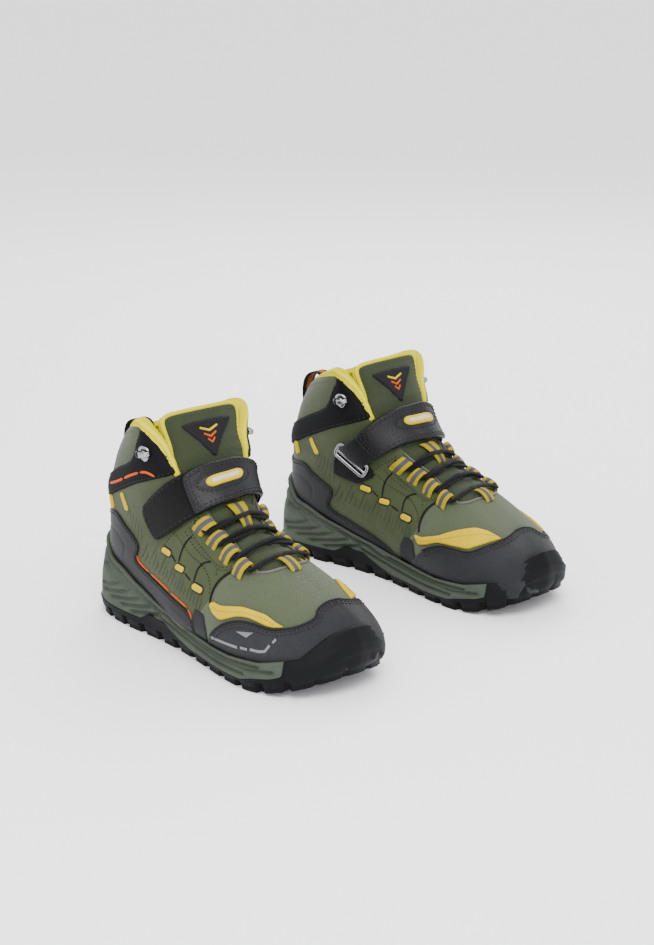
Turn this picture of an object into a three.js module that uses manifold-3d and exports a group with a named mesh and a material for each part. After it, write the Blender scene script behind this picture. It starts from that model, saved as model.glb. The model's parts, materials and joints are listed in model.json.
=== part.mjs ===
// A pair of mid-cut hiking boots, right and left, standing side by side with their toes toward -Y.
// Each boot is designed in its own local frame (x from heel to toe, y to the outer side, z up, millimetres)
// and is then placed in the pair. The right boot is the mirror image of the left one.
import * as THREE from "three";
import { mergeVertices } from "three/addons/utils/BufferGeometryUtils.js";
import Module from "manifold-3d";

const wasm = await Module();
wasm.setup();

// ---------------------------------------------------------------- driving dimensions (mm)
const LINING = [-2.6, 0.0]; // inner and outer offset of the lining from the last surface
const SHELL = [0.35, 1.5]; // vamp and quarters
const OVERLAY = [2.2, 3.2]; // toe cap, heel counter, ankle panel, eyestays, trims
const TONGUE = [-3.6, -0.25];
const STRAP_UNDER = [3.6, 4.8]; // strap part that lies on the instep
const STRAP_OVER = [6.9, 8.2]; // free end folded back over it
const CUP = 3.6; // the sole unit is cut clear of the upper at this offset
const LACE_D = 2.0;
const LUG_H = 3.2;
const BACKSTAY_GAP = 0.035; // half gap of the back seam, in units of the girth parameter
const PAIR = {
  right: { x: -76.0, y: 0.0, yaw: 0.0 },
  left: { x: 106.6, y: 22.6, yaw: 4.9 },
};
const HALF_LENGTH = 120; // local x of the point that each placement refers to
const CENTRE = [17.13, 14.692]; // centre of the pair's footprint before it is moved to the origin

// ---------------------------------------------------------------- the last: rings from the toe to the collar
// [instep x, instep z, sole/back x, sole/back z, centre y, outer half width, inner half width]
const RINGS = [
  [231, 27, 231, 20, -7, 1, 1],
  [228, 36, 231, 17, -7, 15, 14],
  [220, 44, 223, 15, -5, 27, 26],
  [206, 52, 207, 14, -3, 38, 35],
  [188, 60, 184, 14, -1, 43.5, 40],
  [169, 68, 159, 15, 1, 44.5, 41],
  [150, 74.5, 133, 17, 2, 43, 38],
  [134, 81.5, 104, 20, 2, 41, 35],
  [122, 90, 70, 23, 1, 39, 35],
  [111, 101, 32, 26, 0, 37.5, 36],
  [103, 111, 9, 36, 0, 37, 36],
  [97, 121, 4, 58, 0, 36, 35.5],
  [92, 131, 6, 82, 0, 37, 36.5],
  [88, 140, 12, 104, 0, 38, 38],
  [84, 149, 20, 123, 0, 38, 38],
];
const FOOT = [[0, 0], [0, 0.55], [0.06, 0.9], [0.25, 1], [0.5, 0.93], [0.74, 0.72], [0.92, 0.42], [0.995, 0.15], [1, 0]];
const LEG = [[0, 0], [0.012, 0.24], [0.06, 0.47], [0.2, 0.71], [0.43, 0.88], [0.7, 1], [0.9, 0.93], [0.99, 0.5], [1, 0]];
const TOP = [[0, 0], [0.03, 0.17], [0.12, 0.33], [0.27, 0.52], [0.5, 0.76], [0.76, 0.95], [0.93, 0.97], [0.99, 0.5], [1, 0]];
const NR = RINGS.length;
const GIRTH = 16; // girth parameter: 0 sole/back centre, 0..8 outer side, 8 instep centre, 8..16 inner side
const mod = (a, n) => ((a % n) + n) % n;
const clamp = (v, a, b) => Math.min(Math.max(v, a), b);

function knot(i, j) {
  const [ax, az, cx, cz, yc, wl, wm] = RINGS[clamp(i, 0, NR - 1)];
  const k = mod(j, GIRTH);
  const outer = k <= 8;
  const s = outer ? k : GIRTH - k;
  const b = clamp((clamp(i, 0, NR - 1) - 7) / 4, 0, 1);
  const c = clamp((clamp(i, 0, NR - 1) - 12) / 2, 0, 1); // the collar is narrow at the back and opens toward the front
  const leg = [0, 1].map((q) => LEG[s][q] * (1 - c) + TOP[s][q] * c);
  const f = FOOT[s][0] * (1 - b) + leg[0] * b;
  const g = FOOT[s][1] * (1 - b) + leg[1] * b;
  return new THREE.Vector3(cx + (ax - cx) * f, yc + (outer ? wl : -wm) * g, cz + (az - cz) * f);
}
const cr = (p0, p1, p2, p3, f) =>
  p1.clone().multiplyScalar(2)
    .add(p2.clone().sub(p0).multiplyScalar(f))
    .add(p0.clone().multiplyScalar(2).addScaledVector(p1, -5).addScaledVector(p2, 4).sub(p3).multiplyScalar(f * f))
    .add(p1.clone().multiplyScalar(3).addScaledVector(p2, -3).sub(p0).add(p3).multiplyScalar(f * f * f))
    .multiplyScalar(0.5);
function last(t, h) {
  t = clamp(t, 0, NR - 1 - 1e-9);
  const i = Math.floor(t);
  const j = Math.floor(h);
  const col = (k) => {
    const p1 = knot(i, k);
    const p2 = knot(i + 1, k);
    const p0 = i === 0 ? p1.clone().multiplyScalar(2).sub(p2) : knot(i - 1, k);
    const p3 = i >= NR - 2 ? p2.clone().multiplyScalar(2).sub(p1) : knot(i + 2, k);
    return cr(p0, p1, p2, p3, t - i);
  };
  return cr(col(j - 1), col(j), col(j + 1), col(j + 2), h - j);
}
// Knots of the working grid: position and outward normal, linear in between, so that layers never cross.
const TN = [0, 0.5, 1, 2, 3.5, 5, 6.5, 8, 9, 10, 11, 12.5, 14];
const NODE = TN.map((t, a) =>
  Array.from({ length: GIRTH }, (_, j) => {
    const p = last(t, j);
    const e = 0.05;
    const dt = last(Math.min(t + e, NR - 1), j).sub(last(Math.max(t - e, 0), j));
    const dh = last(t, j + e).sub(last(t, j - e));
    const n = new THREE.Vector3().crossVectors(dh, dt).normalize();
    if (a === 0) n.set(1, 0, 0);
    return { p, n };
  }),
);
{
  // make every normal point away from the inside
  const probe = NODE[6][8];
  if (probe.n.z < 0) NODE.forEach((row, a) => a > 0 && row.forEach((q) => q.n.negate()));
}
const cellOf = (t) => {
  let a = 0;
  while (a < TN.length - 2 && t > TN[a + 1]) a++;
  return a;
};
const lift = (a, j) => 0.02 * a * a + 0.03 * j * j + 0.015 * a * j;
// linear interpolation over the two triangles of a grid cell
function blend(t, h, get, mix) {
  const a = cellOf(t);
  const j = Math.floor(h + 1e-9);
  const u = clamp((t - TN[a]) / (TN[a + 1] - TN[a]), 0, 1);
  const v = clamp(h - j, 0, 1);
  const q00 = get(a, j), q11 = get(a + 1, j + 1);
  return u >= v
    ? mix([[q00, 1 - u], [get(a + 1, j), u - v], [q11, v]])
    : mix([[q00, 1 - v], [get(a, j + 1), v - u], [q11, u]]);
}
const liftAt = (t, h) => blend(t, h, lift, (l) => l.reduce((s, [q, w]) => s + q * w, 0));
function skin(t, h, w) {
  return blend(t, h, (a, j) => NODE[a][mod(j, GIRTH)], (l) => {
    const p = new THREE.Vector3();
    for (const [q, k] of l) p.addScaledVector(q.p, k).addScaledVector(q.n, k * w);
    return p;
  });
}

// ---------------------------------------------------------------- solids
function toSolid(geometry) {
  const g = geometry.index ? geometry.toNonIndexed() : geometry.clone();
  g.deleteAttribute("normal");
  g.deleteAttribute("uv");
  const m = mergeVertices(g, 1e-4);
  const s = new wasm.Manifold(
    new wasm.Mesh({ numProp: 3, vertProperties: m.attributes.position.array, triVerts: new Uint32Array(m.index.array) }),
  );
  return s.volume() < 0 ? toSolid(flip(g)) : s;
}
function flip(g) {
  const p = g.attributes.position.array.slice();
  for (let i = 0; i < p.length; i += 9)
    for (let k = 0; k < 3; k++) [p[i + 3 + k], p[i + 6 + k]] = [p[i + 6 + k], p[i + 3 + k]];
  return new THREE.BufferGeometry().setAttribute("position", new THREE.BufferAttribute(p, 3));
}
function toGeometry(solid, map) {
  const m = solid.getMesh();
  const v = new Float32Array(m.numVert * 3);
  for (let i = 0; i < m.numVert; i++) {
    const x = m.vertProperties[i * m.numProp], y = m.vertProperties[i * m.numProp + 1], z = m.vertProperties[i * m.numProp + 2];
    if (map) map(x, y, z).toArray(v, i * 3);
    else v.set([x, y, z], i * 3);
  }
  const g = new THREE.BufferGeometry().setAttribute("position", new THREE.BufferAttribute(v, 3));
  g.setIndex(new THREE.BufferAttribute(new Uint32Array(m.triVerts), 1));
  return g;
}
function fromTriangles(points, tris) {
  const v = new Float32Array(tris.length * 9);
  tris.forEach((t, i) => t.forEach((k, c) => v.set(points[k], i * 9 + c * 3)));
  return new THREE.BufferGeometry().setAttribute("position", new THREE.BufferAttribute(v, 3));
}
// a flat, gridded slab in (t, girth, offset) space that covers a region
function slab(t0, t1, h0, h1, w0, w1) {
  const ts = TN.filter((t) => t > t0 && t < t1);
  const rows = [cellOf(t0 + 1e-6), ...ts.map((t) => TN.indexOf(t)), Math.min(cellOf(t1 - 1e-6) + 1, TN.length - 1)];
  const a0 = rows[0], a1 = rows[rows.length - 1], j0 = Math.floor(h0), j1 = Math.ceil(h1);
  const nj = j1 - j0 + 1, pts = [], tris = [];
  const id = (a, j, top) => ((a - a0) * nj + (j - j0)) * 2 + top;
  for (let a = a0; a <= a1; a++)
    for (let j = j0; j <= j1; j++) for (const w of [w0, w1]) pts.push([TN[a], j, w + lift(a, j)]);
  for (let a = a0; a < a1; a++)
    for (let j = j0; j < j1; j++) {
      for (const top of [0, 1]) {
        const q = [id(a, j, top), id(a + 1, j, top), id(a + 1, j + 1, top), id(a, j + 1, top)];
        if (top) tris.push([q[0], q[1], q[2]], [q[0], q[2], q[3]]);
        else tris.push([q[0], q[2], q[1]], [q[0], q[3], q[2]]);
      }
    }
  const wall = (p, q) => tris.push([p[0], q[0], q[1]], [p[0], q[1], p[1]]);
  for (let a = a0; a < a1; a++) {
    wall([id(a, j0, 0), id(a, j0, 1)], [id(a + 1, j0, 0), id(a + 1, j0, 1)]);
    wall([id(a + 1, j1, 0), id(a + 1, j1, 1)], [id(a, j1, 0), id(a, j1, 1)]);
  }
  for (let j = j0; j < j1; j++) {
    wall([id(a0, j + 1, 0), id(a0, j + 1, 1)], [id(a0, j, 0), id(a0, j, 1)]);
    wall([id(a1, j, 0), id(a1, j, 1)], [id(a1, j + 1, 0), id(a1, j + 1, 1)]);
  }
  return toSolid(fromTriangles(pts, tris));
}
function prism(polygon, z0 = -30, z1 = 60) {
  const shape = new THREE.Shape(polygon.map(([x, y]) => new THREE.Vector2(x, y)));
  return toSolid(new THREE.ExtrudeGeometry(shape, { depth: z1 - z0, bevelEnabled: false }).translate(0, 0, z0));
}
const bounds = (poly) => [
  Math.min(...poly.map((p) => p[0])), Math.max(...poly.map((p) => p[0])),
  Math.min(...poly.map((p) => p[1])), Math.max(...poly.map((p) => p[1])),
];
function flatPanel(poly, [w0, w1]) {
  const [t0, t1, h0, h1] = bounds(poly);
  return slab(t0, t1, h0, h1, w0, w1).intersect(prism(poly));
}
const wrap = (solid) => toGeometry(solid, (t, h, z) => skin(t, h, z - liftAt(t, h)));
const panel = (poly, w) => wrap(flatPanel(poly, w));
const mirror = (poly) => poly.map(([t, h]) => [t, GIRTH - h]).reverse();
const lower = (poly) => poly.map(([t, h]) => [t, -h]).reverse();

// ---------------------------------------------------------------- pattern pieces, as outlines in (t, girth)
const FRONT_EDGE = [[5.4, 6.1], [6.3, 6.3], [7.5, 6.35], [8.65, 6.45], [10.45, 6.35], [11.85, 6.25], [12.55, 6.15], [13.1, 5.95], [13.6, 5.7], [14, 5.3]];
const VAMP_LINE = [[6, 1.2], [6, 3.0], [5.75, 4.15], [5.78, 4.75], [5.72, 5.25], [5.57, 5.55], [5.5, 5.77], [5.08, 5.95]];
const inset = (line, dt, dh) => line.map(([t, h]) => [t + dt, h + dh]);

const VAMP = [
  [1, 1.2], ...inset(VAMP_LINE, -0.035, 0), [4.8, 6.3], [4.7, 7], [4.7, 9], [4.8, 9.7],
  ...mirror(inset(VAMP_LINE, -0.035, 0)), [1, 14.8],
];
const QUARTER = [...inset(VAMP_LINE, 0.035, -0.01), ...FRONT_EDGE, [14, BACKSTAY_GAP], [9.6, BACKSTAY_GAP], [9.35, 1.2]];
const LINING_EDGE = inset(FRONT_EDGE, 0, -0.22);
const LINING_OUT = [
  [0.5, 1.2], [9.35, 1.2], [9.6, BACKSTAY_GAP], [14, BACKSTAY_GAP], ...[...LINING_EDGE].reverse(), [5.0, 6.15], [4.7, 7],
  [4.7, 9], [5.0, 9.85], ...mirror(LINING_EDGE).reverse(), [14, GIRTH - BACKSTAY_GAP], [9.6, GIRTH - BACKSTAY_GAP], [9.35, 14.8], [0.5, 14.8],
];
const TONGUE_LOW = [
  [4.85, 7.1], [4.85, 8.9], [5.1, 9.6], [5.5, 9.85], [6.3, 9.7], [7.5, 9.65], [8.65, 9.55], [10.62, 9.6],
  [10.62, 6.4], [8.65, 6.45], [7.5, 6.35], [6.3, 6.3], [5.5, 6.15], [5.1, 6.4],
];
const TONGUE_TOP = [
  [10.72, 6.6], [11.85, 6.5], [12.55, 6.4], [13.1, 6.25], [13.6, 6.05], [14, 5.75],
  [14, 10.25], [13.6, 9.95], [13.1, 9.75], [12.55, 9.6], [11.85, 9.5], [10.72, 9.4],
];
const TOE_CAP = [
  [0.5, 1.45], [5.6, 1.45], [5.6, 2.05], [5.35, 2.8], [5.05, 3.55], [4.55, 4.1], [4.05, 4.3], [3.6, 4.35], [3.35, 4.5], [2.95, 4.9], [2.7, 5.45],
  [2.65, 5.9], [2.85, 6.3], [2.9, 7.2], [2.9, 8.7], [2.8, 9.65], [2.95, 10.35], [3.3, 11.05], [3.65, 11.65], [4.2, 11.8], [4.8, 12.05],
  [5.3, 12.65], [5.65, 13.45], [5.7, 13.75], [5.6, 14.55], [0.5, 14.55],
];
const TRIM_OUTER = [[5.68, 3.95], [5.65, 4.15], [5.3, 4.2], [4.6, 4.65], [3.9, 4.85], [3.45, 4.75], [3.2, 4.74], [3.45, 4.52], [3.65, 4.45], [4.3, 4.4], [4.65, 4.2], [5.1, 3.7], [5.4, 3.75]];
const TRIM_INNER = [
  [5.8, 12.2], [5.5, 12.15], [4.9, 11.65], [4.45, 11.05], [3.95, 10.45], [3.5, 10.2], [2.95, 10.1], [3.05, 10.3], [3.4, 10.95],
  [3.75, 11.5], [4.25, 11.7], [4.85, 11.95], [5.2, 12.3], [5.5, 12.5],
];
const COUNTER = [
  [5.85, 1.45], [6.0, 2.05], [6.1, 2.9], [6.35, 3.15], [6.9, 3.15], [7.6, 3.15], [8.4, 3.2], [8.95, 3.35], [9.0, 3.65], [9.2, 3.87], [9.85, 3.95],
  [10.7, 3.6], [11.1, 2.9], [11.3, 1.5], [11.35, 0], [11.3, -1.5], [10.85, -2.95], [10.55, -3.5], [9.9, -3.75], [9.05, -3.8], [8.85, -3.6],
  [8.8, -3.2], [8.55, -2.95], [7.95, -2.8], [7.3, -2.65], [6.6, -2.45], [6.15, -1.95], [5.85, -1.45], [9.3, -1.45], [9.6, -0.7], [9.65, 0], [9.6, 0.7], [9.3, 1.45],
];
const ANKLE_OUT = [
  [11.6, 0], [11.58, 2], [11.5, 3.45], [11.2, 4.65], [10.85, 5.5], [10.62, 6.1], [11.75, 6.1], [12.5, 6.0], [13.05, 5.75], [13.7, 5.35],
  [13.1, 5.1], [12.8, 5.05], [12.3, 4.9], [12.15, 4.65], [12.3, 3.6], [12.3, 2],
];
const ANKLE = [...ANKLE_OUT, [12.3, 0], ...lower(ANKLE_OUT.slice(1))];
const EYESTAY = [[5.2, 5.9], [5.5, 6.0], [6.3, 6.2], [7.5, 6.25], [8.3, 6.3], [8.3, 5.45], [7.5, 5.2], [6.5, 5.1], [6.05, 5.15], [5.7, 5.6]];
const LOOP_T = [7.9, 7.08, 6.25, 5.5];
const STRAP_LOW = [
  [10.2, 4.75], [9.5, 4.5], [8.85, 4.45], [8.65, 4.8], [8.45, 5.9], [8.4, 7.0], [8.4, 8.0], [8.5, 9.0], [8.7, 10.2], [8.75, 10.6],
  [10.1, 10.4], [10.35, 9.6], [10.5, 8.5], [10.55, 7.05], [10.45, 6.0], [10.35, 5.3],
];
const STRAP_FREE = [
  [9.95, 6.2], [9.6, 6.1], [8.9, 6.15], [8.6, 6.4], [8.42, 7.0], [8.4, 8.0], [8.5, 9.0], [8.68, 10.1], [8.72, 10.42], [10.12, 10.28], [10.35, 9.6],
  [10.5, 8.5], [10.5, 7.05], [10.3, 6.4],
];
const RING_TAB = [[9.95, 10.95], [9.75, 11.45], [9.3, 11.65], [8.6, 11.5], [8.4, 11.1], [8.6, 10.95]];
const PATCH = [[12.9, 7.1], [12.98, 8], [12.9, 8.95], [11, 8.15], [10.95, 7.9]];
const BOARD = [[0.7, -0.85], [0.7, 0.85], [2, 1.0], [8.8, 1.0], [9.1, 0], [8.8, -1.0], [2, -1.0]];
const FOOTBED = [[1.2, -0.7], [1.2, 0.7], [2, 0.9], [8.6, 0.9], [8.95, 0], [8.6, -0.9], [2, -0.9]];
const SHANK = [[5.2, -0.45], [5.2, 0.45], [8.4, 0.5], [8.7, 0], [8.4, -0.5]];

// webbing loops stand on the eyestay as little bridges; the lace passes under each of them
function eyestay() {
  let s = flatPanel(EYESTAY, OVERLAY);
  for (const t of LOOP_T) {
    s = s.add(slabBox(t - 0.18, t + 0.18, 5.34, 6.28, 2.5, 8.2)).subtract(slabBox(t - 0.4, t + 0.4, 5.5, 6.1, 3.4, 7.4));
  }
  return s;
}
function slabBox(t0, t1, h0, h1, w0, w1) {
  return slab(t0, t1, h0, h1, w0, w1).intersect(prism([[t0, h0], [t1, h0], [t1, h1], [t0, h1]]));
}

// ---------------------------------------------------------------- lace: one elastic cord through all the loops
const LACE_ROUTE = (() => {
  const out = 5.8, inn = GIRTH - 5.8, r = [];
  const thread = (h, ta, tb) => { for (const k of [0, 0.5, 1]) r.push([ta + (tb - ta) * k, h, 5.3]); };
  const cross = (h0, t0, h1, t1, mid) => {
    for (const k of [0.14, 0.32, 0.5, 0.68, 0.86]) r.push([t0 + (t1 - t0) * k, h0 + (h1 - h0) * k, mid + (5.0 - mid) * Math.pow(Math.abs(2 * k - 1), 2)]);
  };
  const [a, b, c, d] = LOOP_T, e = 0.31;
  thread(out, a + e, a - e); cross(out, a - e, inn, b + e, 3.0);
  thread(inn, b + e, b - e); cross(inn, b - e, out, c + e, 3.0);
  thread(out, c + e, c - e); cross(out, c - e, inn, d + e, 3.0);
  thread(inn, d + e, d - e); cross(inn, d - e, out, d - e, 3.4);
  thread(out, d - e, d + e); cross(out, d + e, inn, c - e, 6.6);
  thread(inn, c - e, c + e); cross(inn, c + e, out, b - e, 6.6);
  thread(out, b - e, b + e); cross(out, b + e, inn, a - e, 6.6);
  thread(inn, a - e, a + e);
  return r;
})();
function lace(diameter = LACE_D) {
  const curve = new THREE.CatmullRomCurve3(LACE_ROUTE.map(([t, h, w]) => skin(t, h, w)), false, "centripetal");
  const section = new THREE.Shape(Array.from({ length: 6 }, (_, k) => new THREE.Vector2(Math.cos((k * Math.PI) / 3), Math.sin((k * Math.PI) / 3)).multiplyScalar(diameter / 2)));
  return new THREE.ExtrudeGeometry(section, { steps: 72, extrudePath: curve, bevelEnabled: false });
}

// ---------------------------------------------------------------- sole unit
const OUT_EDGE = [[-2, 0], [0, 15], [7, 28], [23, 36.5], [50, 39.5], [80, 38.5], [110, 39.5], [140, 43.5], [165, 47], [187, 47], [206, 41.5], [220, 31], [229, 17], [233, -3]];
const IN_EDGE = [[-2, 0], [0, -15], [7, -28], [23, -36.5], [50, -37], [80, -33], [110, -33], [140, -38], [165, -43], [187, -44.5], [206, -41.5], [220, -33.5], [229, -21], [233, -3]];
const OUT_INSET = [1.9, 1.8, 2.5, 3.7, 4.8, 5.3, 5.6, 5, 4, 2.1, -0.8, -2.6, -3, -3, -2.6, -2, -0.1, 0.9, 1.6, 1.6, 1.1, 0.7, 0.8, 2.3, 3.4, 3.7, 4.1];
const IN_INSET = [1.9, 1.8, 2.6, 3.9, 5.1, 6.1, 6.3, 5.3, 3.7, 2.1, -0.1, -1.7, -2.3, -1.5, -0.7, -0.4, 0.4, 0.4, 0.2, -0.3, -1.2, -2.2, -2.6, -1.2, 0.6, 1.8, 4.1];
const WALL_TOP = [[-2, 52], [5, 50], [12, 45], [20, 40], [39, 37], [57, 32], [82, 27], [103, 24.5], [122, 21.5], [138, 20], [168, 18], [195, 20], [215, 25], [219, 26], [227, 35], [231, 40], [233, 42]];
const SPLIT = [[-10, 10], [35, 10], [67, 11], [75, 16], [93, 16], [110, 9], [122, 6.2], [155, 6], [182, 7], [190, 9.5], [205, 12.5], [211, 15], [217, 60]];
const lerpTable = (table, x) => {
  if (x <= table[0][0]) return table[0][1];
  for (let i = 1; i < table.length; i++)
    if (x <= table[i][0]) return table[i - 1][1] + ((table[i][1] - table[i - 1][1]) * (x - table[i - 1][0])) / (table[i][0] - table[i - 1][0]);
  return table[table.length - 1][1];
};
const ground = (x) => (x > 182 ? ((x - 182) / 51) ** 2 * 13 : x < 22 ? ((22 - x) / 22) ** 2 * 4 : 0);
const edgePoint = (edge, s) => {
  const i = Math.min(Math.floor(s), edge.length - 2), v = (k) => new THREE.Vector3(...edge[clamp(k, 0, edge.length - 1)], 0);
  const p0 = i === 0 ? v(0).multiplyScalar(2).sub(v(1)) : v(i - 1);
  const p3 = i === edge.length - 2 ? v(i + 1).multiplyScalar(2).sub(v(i)) : v(i + 2);
  return cr(p0, v(i), v(i + 1), p3, s - i);
};
function stations() {
  const list = [];
  const N = 26;
  const add = (edge, ins, k, sgn) => {
    const s = (k / N) * 13, p = edgePoint(edge, s);
    const a = edgePoint(edge, Math.max(s - 0.05, 0)), b = edgePoint(edge, Math.min(s + 0.05, 13));
    const n = new THREE.Vector3(b.y - a.y, a.x - b.x, 0).normalize().multiplyScalar(sgn); // inward
    if (k === 0) n.set(1, 0, 0);
    if (k === N) n.set(-1, 0, 0);
    list.push({ p, n, d: ins[k] });
  };
  for (let k = 0; k <= N; k++) add(OUT_EDGE, OUT_INSET, k, 1);
  for (let k = N - 1; k >= 1; k--) add(IN_EDGE, IN_INSET, k, -1);
  return list;
}
function loft(levels) {
  // levels: arrays of [x, y, z] with equal counts, bottom to top, closed with fans
  const n = levels[0].length, pts = levels.flat(), tris = [];
  for (let l = 0; l + 1 < levels.length; l++)
    for (let i = 0; i < n; i++) {
      const a = l * n + i, b = l * n + ((i + 1) % n);
      tris.push([a, b, b + n], [a, b + n, a + n]);
    }
  // caps: quads across the width
  const cap = (base, up) => {
    for (let i = 0; i < n / 2; i++) {
      const a = base + i, b = base + i + 1, c = base + ((n - i - 1) % n), d = base + ((n - i) % n);
      const push = (x, y, z) => { if (x !== y && y !== z && x !== z) tris.push(up ? [x, y, z] : [x, z, y]); };
      push(a, b, c);
      push(a, c, d);
    }
  };
  cap(0, false);
  cap((levels.length - 1) * n, true);
  return toSolid(fromTriangles(pts, tris));
}
function soleBlank() {
  const st = stations();
  const at = (s, inset, z) => [s.p.x + s.n.x * inset, s.p.y + s.n.y * inset, z];
  return loft([
    st.map((s) => at(s, 2.2, ground(s.p.x) + LUG_H)),
    st.map((s) => at(s, 0.2, ground(s.p.x) + 7)),
    st.map((s) => at(s, s.d * 0.35 - 0.3, (lerpTable(WALL_TOP, s.p.x) - 8) * 0.45 + 8)),
    st.map((s) => at(s, s.d, lerpTable(WALL_TOP, s.p.x))),
  ]);
}
// the closed volume of the upper at a given offset
function upperVolume(w) {
  const pts = [], tris = [], n = GIRTH, rows = TN.length;
  for (let a = 0; a < rows; a++) for (let j = 0; j < n; j++) pts.push(NODE[a][j].p.clone().addScaledVector(NODE[a][j].n, w).toArray());
  for (let a = 0; a + 1 < rows; a++)
    for (let j = 0; j < n; j++) {
      const p = a * n + j, q = a * n + ((j + 1) % n);
      tris.push([p, p + n, q + n], [p, q + n, q]);
    }
  for (const [base, up] of [[0, false], [(rows - 1) * n, true]]) {
    const c = new THREE.Vector3();
    for (let j = 0; j < n; j++) c.add(new THREE.Vector3(...pts[base + j]));
    pts.push(c.divideScalar(n).toArray());
    for (let j = 0; j < n; j++) tris.push(up ? [base + j, base + ((j + 1) % n), pts.length - 1].reverse() : [base + j, base + ((j + 1) % n), pts.length - 1]);
  }
  return toSolid(fromTriangles(pts, tris));
}
function profilePrism(table, y0, y1, dz, top = 90) {
  // everything above a height profile z(x)
  const shape = new THREE.Shape([...table.map(([x, z]) => new THREE.Vector2(x, z + dz)), new THREE.Vector2(table[table.length - 1][0], top), new THREE.Vector2(table[0][0], top)]);
  return toSolid(new THREE.ExtrudeGeometry(shape, { depth: y1 - y0, bevelEnabled: false }).rotateX(Math.PI / 2).translate(0, y1, 0));
}
const lugs = () => {
  const list = [];
  const box = (x0, x1, y0, y1) => {
    const g = Math.max(ground(x0), ground(x1), 0), lo = Math.min(ground(x0), ground(x1));
    list.push(toSolid(new THREE.BoxGeometry(x1 - x0, y1 - y0, g - lo + LUG_H + 1.2).translate((x0 + x1) / 2, (y0 + y1) / 2, lo + (g - lo + LUG_H + 1.2) / 2)));
  };
  const at = (edge, x) => {
    let s = 0;
    for (let k = 0; k <= 130; k++) if (edgePoint(edge, k / 10).x <= x) s = k / 10;
    return edgePoint(edge, s).y;
  };
  const rows = [8, 32, 54, 114, 136, 158, 180, 202, 218];
  for (const x of rows) {
    const o = Math.min(at(OUT_EDGE, x), at(OUT_EDGE, x + 12)), i = Math.max(at(IN_EDGE, x), at(IN_EDGE, x + 12));
    box(x, x + 13, o - 20, o - 2.4);
    box(x, x + 13, i + 2.4, i + 20);
  }
  return list;
};

// ---------------------------------------------------------------- metal and webbing parts
function frameAt(t, h, w) {
  const p = skin(t, h, w), z = skin(t, h, w + 1).sub(p).normalize();
  const x = skin(t + 0.3, h, w).sub(skin(t - 0.3, h, w)).normalize();
  const y = new THREE.Vector3().crossVectors(z, x).normalize();
  x.crossVectors(y, z);
  return new THREE.Matrix4().makeBasis(x, y, z).setPosition(p);
}
function laceHook(t, h) {
  const r = [[0, 0], [4.4, 0], [4.4, 0.9], [2, 1.4], [2, 4.2], [4.2, 4.8], [4.4, 5.8], [0, 6.2]];
  return new THREE.LatheGeometry(r.map(([a, b]) => new THREE.Vector2(a, b)), 16).rotateX(Math.PI / 2).applyMatrix4(frameAt(t, h, OVERLAY[1] + 1.1));
}
function slotRing() {
  const rect = (a, b, r) => {
    const s = new THREE.Shape();
    s.absarc(a - r, b - r, r, 0, Math.PI / 2); s.absarc(-a + r, b - r, r, Math.PI / 2, Math.PI);
    s.absarc(-a + r, -b + r, r, Math.PI, 1.5 * Math.PI); s.absarc(a - r, -b + r, r, 1.5 * Math.PI, 2 * Math.PI);
    s.closePath();
    return s;
  };
  const shape = rect(15, 6.2, 3), hole = rect(12.4, 3.6, 1.2);
  shape.holes.push(new THREE.Path(hole.getPoints(4)));
  return new THREE.ExtrudeGeometry(shape, { depth: 1.6, bevelEnabled: false, curveSegments: 4 }).applyMatrix4(RING_FRAME());
}
const RING_FRAME = () => frameAt(9.3, 11.02, 3.45);
function heelLoop() {
  const s = new THREE.Shape([
    [7.0, 99.2], [5.5, 105.8], [5.0, 113.2], [6.3, 120.5], [9.8, 125.6], [15.6, 128.8], [21.2, 129.2], [26, 127], [27.8, 120.5], [28, 113],
    [26.4, 112.9], [26.2, 120.1], [24.8, 125.7], [20.7, 127.6], [16, 127.2], [11, 124.3], [7.8, 119.8], [6.6, 113], [7.1, 106.2], [8.5, 99.6],
  ].map((p) => new THREE.Vector2(...p)));
  return new THREE.ExtrudeGeometry(s, { depth: 12, bevelEnabled: false }).rotateX(Math.PI / 2).translate(0, 6, 0);
}
const TONGUE_LOOP = [[7.25, 7.72], [8.15, 7.72], [8.15, 8.28], [7.25, 8.28]];

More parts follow.
